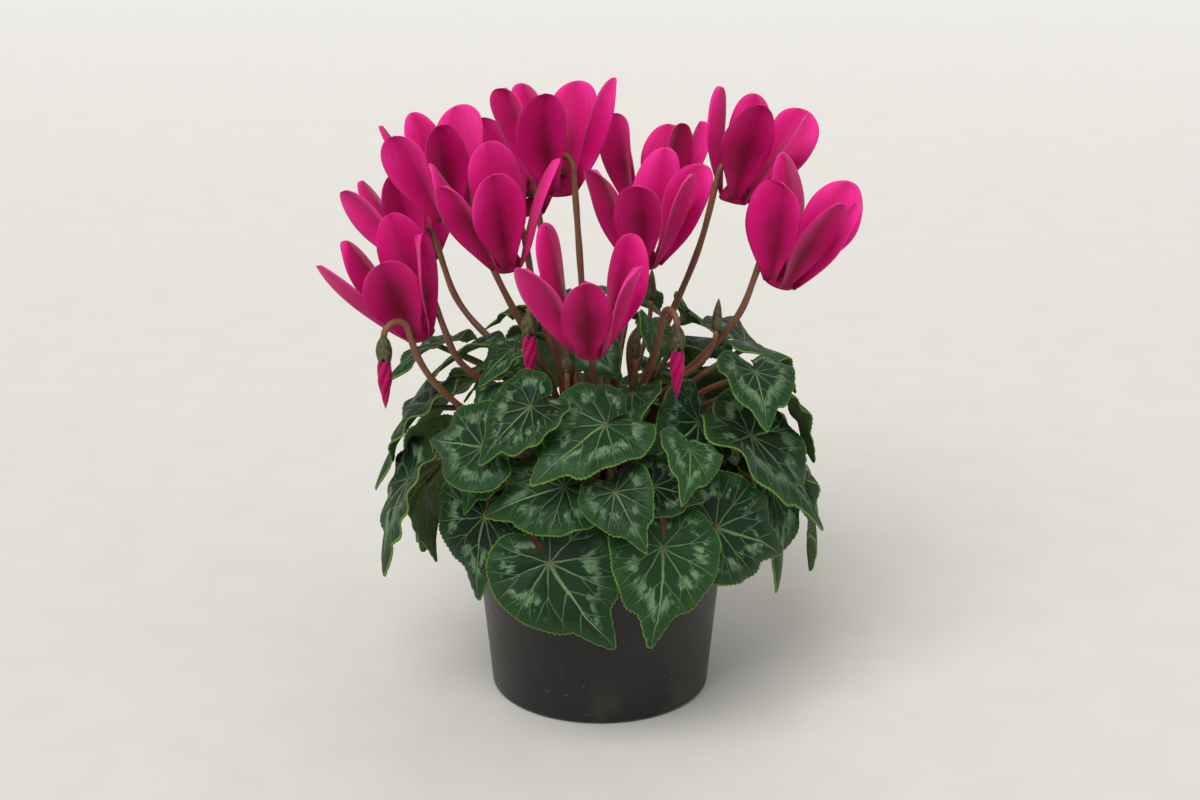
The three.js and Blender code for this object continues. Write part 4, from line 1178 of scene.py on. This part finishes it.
class CYCLAMEN_OT_soil(CyclamenOperator, Operator):
    """Fills the nursery pot with crumbly peat round the tuber"""

    bl_idname = "cyclamen.soil"
    bl_label = "Peat and tuber"

    def execute(self, context):
        self.fill()
        self.tuber()
        self.crumbs(context.scene.cyclamen_sizes.crumbs)
        return {"FINISHED"}

    def fill(self):
        base, top, rim, _, wall = INNER_POT.values()
        floor, side, collar = INNER_FLOOR + wall + GAP, wall + 0.6, COLLAR_FOOT + wall
        edge = rim - side - 1.6
        across, deep = TUBER["radius"] + GAP, TUBER["half_height"] + GAP
        profile = [
            (0, floor), (base - 3, floor), (base - side, floor + 2.4), (top - side, collar - 0.2),
            (edge, collar + GAP), (edge + 0.3, SOIL_TOP - 1.5),
        ]
        profile += [(radius, SOIL_TOP) for radius in np.linspace(edge, TUBER["radius"] - 0.5, 16)]
        hollow = np.linspace(0.1, math.pi / 2, 8)[:-1]
        profile += [(across * math.cos(turn), TUBER["middle"] - deep * math.sin(turn)) for turn in hollow]
        profile.append((0, TUBER["middle"] - deep))
        bm = new_mesh()
        turned(bm, GROUND, profile, 72)
        dice = Dice(31)
        for vert in bm.verts:
            radius = math.hypot(vert.co.x, vert.co.y) / MM
            if vert.co.z / MM > SOIL_TOP - 0.2 and TUBER["radius"] + 1 < radius < edge - 0.1:
                vert.co.z += dice.between(*SOIL_UNEVEN) * MM
        finish_piece("peat_fill", bm, [peat_material()], "soil")

    def tuber(self):
        bm = new_mesh()
        verts = bmesh.ops.create_uvsphere(bm, u_segments=48, v_segments=28, radius=1)["verts"]
        points = np.array([vert.co for vert in verts])
        bumps = 1 - 0.012 * (1 + np.sin(7 * points[:, 0] + 3 * points[:, 2]) * np.sin(9 * points[:, 1]))
        size = np.array((TUBER["radius"], TUBER["radius"], TUBER["half_height"]))
        move_verts(verts, points * bumps[:, None] * size + (0, 0, TUBER["middle"]))
        finish_piece("corm", bm, [tuber_material()], "tuber")

    def crumbs(self, count):
        dice = Dice(77)
        bm = new_mesh()
        for _ in range(count):
            verts = bmesh.ops.create_icosphere(bm, subdivisions=1, radius=1)["verts"]
            radius = CRUMB["inner"] + CRUMB["band"] * math.sqrt(dice.between(0, 1))
            turn = dice.between(0, FULL_TURN)
            size = dice.between(*CRUMB["size"])
            middle = np.array((radius * math.cos(turn), radius * math.sin(turn), SOIL_TOP + CRUMB["lift"]))
            stretch = np.array([dice.between(*CRUMB["stretch"]) for _ in range(3)]) * size
            move_verts(verts, np.array([vert.co for vert in verts]) * stretch + middle)
        finish_piece("peat_crumbs", bm, [peat_material()], None, smooth=False)


class CYCLAMEN_OT_leaves(CyclamenOperator, Operator):
    """Grows every leaf with its stem, and the young leaves that fork from them"""

    bl_idname = "cyclamen.leaves"
    bl_label = "Leaves"

    def execute(self, context):
        leaves, young, small, _ = grown_plant()
        dice = Dice(55)
        coats = [leaf_material(), stem_material()]
        for index, leaf in enumerate(leaves):
            bm = new_mesh()
            self.leaf(context, bm, leaf, dice)
            if index in young:
                self.leaf(context, bm, young[index], dice, YOUNG_FINENESS)
            node = f"leaf_{index + 1:02d}"
            check_place(finish_piece(f"marbled_{node}", bm, coats, node), node, LEAF_SLACK)
        for index, leaf in enumerate(small):
            bm = new_mesh()
            self.leaf(context, bm, leaf, dice, SMALL_FINENESS)
            finish_piece(f"small_leaf_{index + 1:02d}", bm, coats, None)
        return {"FINISHED"}

    @staticmethod
    def leaf(context, bm, leaf, dice, fineness=1.0):
        """A toothed, ruffled blade on its stem. A less fine one has fewer teeth and a paler green."""
        sizes = context.scene.cyclamen_sizes
        teeth = round(sizes.teeth * fineness)
        columns = teeth * len(TOOTH_SHAPE)
        place = leaf_frame(leaf)
        uneven = np.array([dice.between(*TOOTH_UNEVEN) for _ in range(teeth + 1)])
        its = SimpleNamespace(**dice.draw(LEAF_DRAWS))

        def plan(u, v):
            degrees, share = BLADE_ANGLE * (2 * u - 1), towards_edge(v)
            pinch = 1 - PINCH["depth"] * np.exp(-(((np.abs(degrees) - PINCH["angle"]) / PINCH["width"]) ** 2))
            angle, reach = np.radians(degrees), share * edge_reach(degrees) * pinch
            return angle, share, pinch, reach * np.sin(angle), reach * np.cos(angle)

        def shape(u, v, lift):
            angle, share, pinch, w, q = plan(u, v)
            cell = np.rint(u * columns).astype(int)
            dip = TOOTH_SHAPE[cell % len(TOOTH_SHAPE)] * uneven[cell // len(TOOTH_SHAPE)]
            toothed = pinch * np.where(v > 0.999, 1 - sizes.tooth_depth * dip, 1.0)
            grooves = 0
            for turn in VEIN_TURNS:
                beside = q * math.sin(turn) - np.abs(w) * math.cos(turn)
                ahead = q * math.cos(turn) + np.abs(w) * math.sin(turn)
                grooves = grooves + np.exp(-((beside / GROOVE_WIDTH) ** 2)) * (ahead > 0)
            ruffles = its.ruffle * share**4 * np.sin(angle * math.floor(its.waves) + its.phase)
            relief = ruffles - GROOVE_DEPTH * grooves * share * (1 - share) * 4
            return leaf_point(leaf, place, np.degrees(angle), share, lift + relief * leaf["length"], toothed)

        def plane(u, v):
            return plan(u, v)[3:]

        marks = {"share": towards_edge, "tone": its.tone**2 * 0.6 + 1 - fineness}
        sheet(bm, (columns, BLADE_ROWS), shape, "leaf_plane", plane, sizes.leaf_thickness, **marks)
        route = smooth_route(petiole_route(leaf, place), 26)
        tube(bm, route, PETIOLE_RADIUS * np.linspace(1.0, 0.82, len(route)), 10, 1)


class CYCLAMEN_OT_blooms(CyclamenOperator, Operator):
    """Makes each bloom's swept-back petals and dark mouth, and its hooked stalk with sepals"""

    bl_idname = "cyclamen.blooms"
    bl_label = "Blooms"

    def execute(self, context):
        thickness = context.scene.cyclamen_sizes.petal_thickness
        dice = Dice(91)
        for index, bloom in enumerate(BLOOMS):
            number = f"{index + 1:02d}"
            self.corolla(bloom, petals_of(index), number, thickness, dice)
            self.stalk(bloom, number, dice)
        return {"FINISHED"}

    @staticmethod
    def corolla(bloom, petals, number, thickness, dice):
        """Petals that are each folded, waved and leant their own way, round a dark mouth."""
        *spot, size = bloom
        place = bloom_frame(*spot)
        bm = new_mesh()
        for petal in petals:
            its = SimpleNamespace(**dice.draw(BLOOM_DRAWS))

            def shape(u, v, lift):
                across, along = 2 * u - 1, towards_tip(v)
                body = np.sin(math.pi * np.minimum(along * 1.05, 1) ** 0.8)
                rolled = its.fold * (np.sqrt(across**2 + 0.04) - 0.2) * (0.35 * along + 0.65 * body)
                uneven = 1 + its.skew * across * body + its.hollow * np.sin(8 * along + 2 * its.phase)
                wave = np.sin(5 * along + its.phase + 1.5 * across)
                waved = its.ruffle * across * np.abs(across) * along * wave
                curled = its.curl * np.maximum(along - 0.7, 0) ** 2 * 11
                bent = {**petal, "dish": 0, "azimuth": petal["azimuth"] + its.sway * along**2}
                half_width = spoon_half_width(along, its.bluntness)
                out = lift + rolled * uneven + waved + curled + its.lean * along**2
                return petal_point(size, place, bent, half_width, across * uneven * its.breadth, along, out)

            def plane(u, v):
                return u, towards_tip(v)

            sheet(bm, PETAL_COUNTS, shape, "petal_plane", plane, thickness, tone=its.tone)
        mouth, core = MOUTH_RADIUS * size, CORE_HEIGHT * size
        profile = (
            (0, 2.6), (mouth * 0.55, 2.4), (mouth * 0.72, 1.2), (mouth * 0.85, 0.15), (mouth + 0.1, -0.15),
            (mouth + 0.6, 0.4), (mouth + 0.5, 1.6), (mouth * 0.8, core * 0.7), (1.8 * size, core), (0, core),
        )
        turned(bm, place, profile, 30)
        node = f"bloom_{number}"
        piece = finish_piece(f"petals_{number}", bm, [petal_material()], node)
        check_place(piece, node, BLOOM_SLACK)

    @staticmethod
    def stalk(bloom, number, dice):
        """The stalk, and the small round of sepals that holds the corolla."""
        *spot, size = bloom
        bm = hooked_stalk(bloom_stalk_route(*bloom), 64, dice)
        foot = CORE_HEIGHT * size + GAP
        rises = ((0, 0), (3.0 * size, 0), (2.7 * size, 0.8), (1.7, 2.0), (0.9, 2.9), (0, 2.9))
        turned(bm, bloom_frame(*spot), [(radius, foot + rise) for radius, rise in rises], 15, 1)
        coats = [stalk_material(), sepal_material()]
        finish_piece(f"stalk_{number}", bm, coats, f"bloom_stalk_{number}")


class CYCLAMEN_OT_buds(CyclamenOperator, Operator):
    """Makes the closed nodding buds, each twisted to a point in its green cup"""

    bl_idname = "cyclamen.buds"
    bl_label = "Buds"

    def execute(self, context):
        dice = Dice(17)
        coats = [stalk_material(), sepal_material()]
        for number, bud in enumerate(BUDS, 1):
            place = bud_frame(*bud)
            self.petals(place, number)
            self.stalk(place, bud, number, dice, coats)
        for number, route in enumerate(grown_plant()[3], 1):
            self.young(route, number, coats)
        return {"FINISHED"}

    @staticmethod
    def petals(place, number):
        """Closed petals, twisted to a point, with a groove between each two."""
        bm = new_mesh()
        verts, u, v = grid_verts(bm, 28, 40)
        turn = FULL_TURN * v
        groove = (0.5 + 0.5 * np.sin(5 * (turn + 3.2 * u))) ** 2
        radius = np.interp(u, *BUD_BODY) * BUD_RADIUS * (1 - 0.16 * groove)
        down = CUP_LENGTH + GAP + BUD_LENGTH * u
        move_verts(verts, place.at(radius * np.cos(turn), radius * np.sin(turn), -down))
        # The map gives each groove between the closed petals the petal's dark middle colour, which is painted
        # shade in the grooves.
        spots = np.stack((0.85 - 0.35 * groove, 0.3 + 0.4 * u), axis=1)
        map_faces(bm, bm.faces, "petal_plane", dict(zip(verts, spots)))
        mark_verts(bm, verts, skin=1.0, tone=0.1 * number)
        merge(bm, verts)
        fill_ends(bm, 40)
        finish_piece(f"bud_petals_{number}", bm, [petal_material()], f"bud_{number}")

    @staticmethod
    def stalk(place, bud, number, dice, coats):
        """The stalk and the cup, whose rim is drawn out into five sepals."""
        bm = hooked_stalk(bud_stalk_route(*bud), 60, dice)
        before = set(bm.verts)
        shares = ((0, 1), (0.8, 1), (1, 0.6), (0.75, 0.2))
        profile = [(CUP_RADIUS * radius, -CUP_LENGTH * down) for radius, down in shares]
        turned(bm, place, smooth_turn(profile + [(0.9, 0.4), (0, 0.4)]), 40, 1)
        axes = np.array((place.right, place.front, place.up))
        for vert in set(bm.verts) - before:
            right, front, up = axes @ (np.array(vert.co) / MM - place.origin)
            lobe = 0.5 + 0.5 * math.cos(5 * math.atan2(front, right))
            low = min(max((-up / CUP_LENGTH - 0.55) / 0.45, 0), 1)
            rim = min(math.hypot(right, front) / 1.5, 1)
            vert.co += Vector(place.up * (0.9 - 2.1 * lobe) * low * rim * MM)
        finish_piece(f"bud_stem_{number}", bm, coats, f"bud_stalk_{number}")

    @staticmethod
    def young(route, number, coats):
        """A young bud stands upright and is still shut in its sepals."""
        bm = new_mesh()
        tube(bm, route, np.linspace(1.0, 0.8, len(route)), 10)
        up = unit(route[-1] - route[-2])
        right = unit(np.cross(up, SIDEWAYS))
        turned(bm, Frame(route[-1], right, np.cross(up, right), up), smooth_turn(YOUNG_BUD_PROFILE), 20, 1)
        finish_piece(f"young_bud_{number}", bm, coats, None)


class CYCLAMEN_OT_stage(CyclamenOperator, Operator):
    """Sets the pale floor, the soft studio light and the camera"""

    bl_idname = "cyclamen.stage"
    bl_label = "Stage"

    def execute(self, context):
        scene = context.scene
        scene.view_settings.view_transform = "Standard"
        sizes, looks = scene.cyclamen_sizes, scene.cyclamen_colours
        bm = bmesh.new()
        bmesh.ops.create_grid(bm, x_segments=4, y_segments=4, size=FLOOR_HALF)
        floor = mesh_object("floor", bm, [floor_material()])
        for name, direction, power, softness in LIGHTS:
            sun = bpy.data.lights.new(name, "SUN")
            sun.energy = power
            sun.angle = math.radians(softness)
            add_object(name, sun).rotation_euler = Vector(direction).to_track_quat("Z", "Y").to_euler()
        world = bpy.data.worlds.new("surround")
        world.use_nodes = True
        backdrop = world.node_tree.nodes["Background"]
        backdrop.inputs["Color"].default_value = rgba(looks.backdrop)
        backdrop.inputs["Strength"].default_value = SURROUND_LIGHT
        scene.world = world
        view = bpy.data.cameras.new("camera")
        view.lens = sizes.lens
        camera = add_object("camera", view)
        camera.location = (0, -sizes.camera_away, sizes.camera_up)
        camera.rotation_euler = (math.atan2(sizes.camera_away, sizes.camera_up - sizes.aim), 0, 0)
        scene.camera = camera
        return {"FINISHED"}


MAKERS = (
    CYCLAMEN_OT_outer_pot,
    CYCLAMEN_OT_inner_pot,
    CYCLAMEN_OT_soil,
    CYCLAMEN_OT_leaves,
    CYCLAMEN_OT_blooms,
    CYCLAMEN_OT_buds,
    CYCLAMEN_OT_stage,
)


class CYCLAMEN_PT_panel(Panel):
    """Lists the plant's pieces"""

    bl_idname = "CYCLAMEN_PT_panel"
    bl_label = "Potted cyclamen"
    bl_space_type = "VIEW_3D"
    bl_region_type = "UI"
    bl_category = "Cyclamen"

    def draw(self, context):
        for maker in MAKERS:
            self.layout.operator(maker.bl_idname)
        for group in (context.scene.cyclamen_sizes, context.scene.cyclamen_colours):
            for name in type(group).__annotations__:
                self.layout.prop(group, name)


CLASSES = (CyclamenSizes, CyclamenColours, *MAKERS, CYCLAMEN_PT_panel)


def register():
    for cls in CLASSES:
        bpy.utils.register_class(cls)
    bpy.types.Scene.cyclamen_sizes = PointerProperty(type=CyclamenSizes)
    bpy.types.Scene.cyclamen_colours = PointerProperty(type=CyclamenColours)


def unregister():
    del bpy.types.Scene.cyclamen_colours
    del bpy.types.Scene.cyclamen_sizes
    for cls in reversed(CLASSES):
        bpy.utils.unregister_class(cls)


def main():
    register()
    for maker in MAKERS:
        group, name = maker.bl_idname.split(".")
        getattr(getattr(bpy.ops, group), name)()


if __name__ == "__main__":
    main()
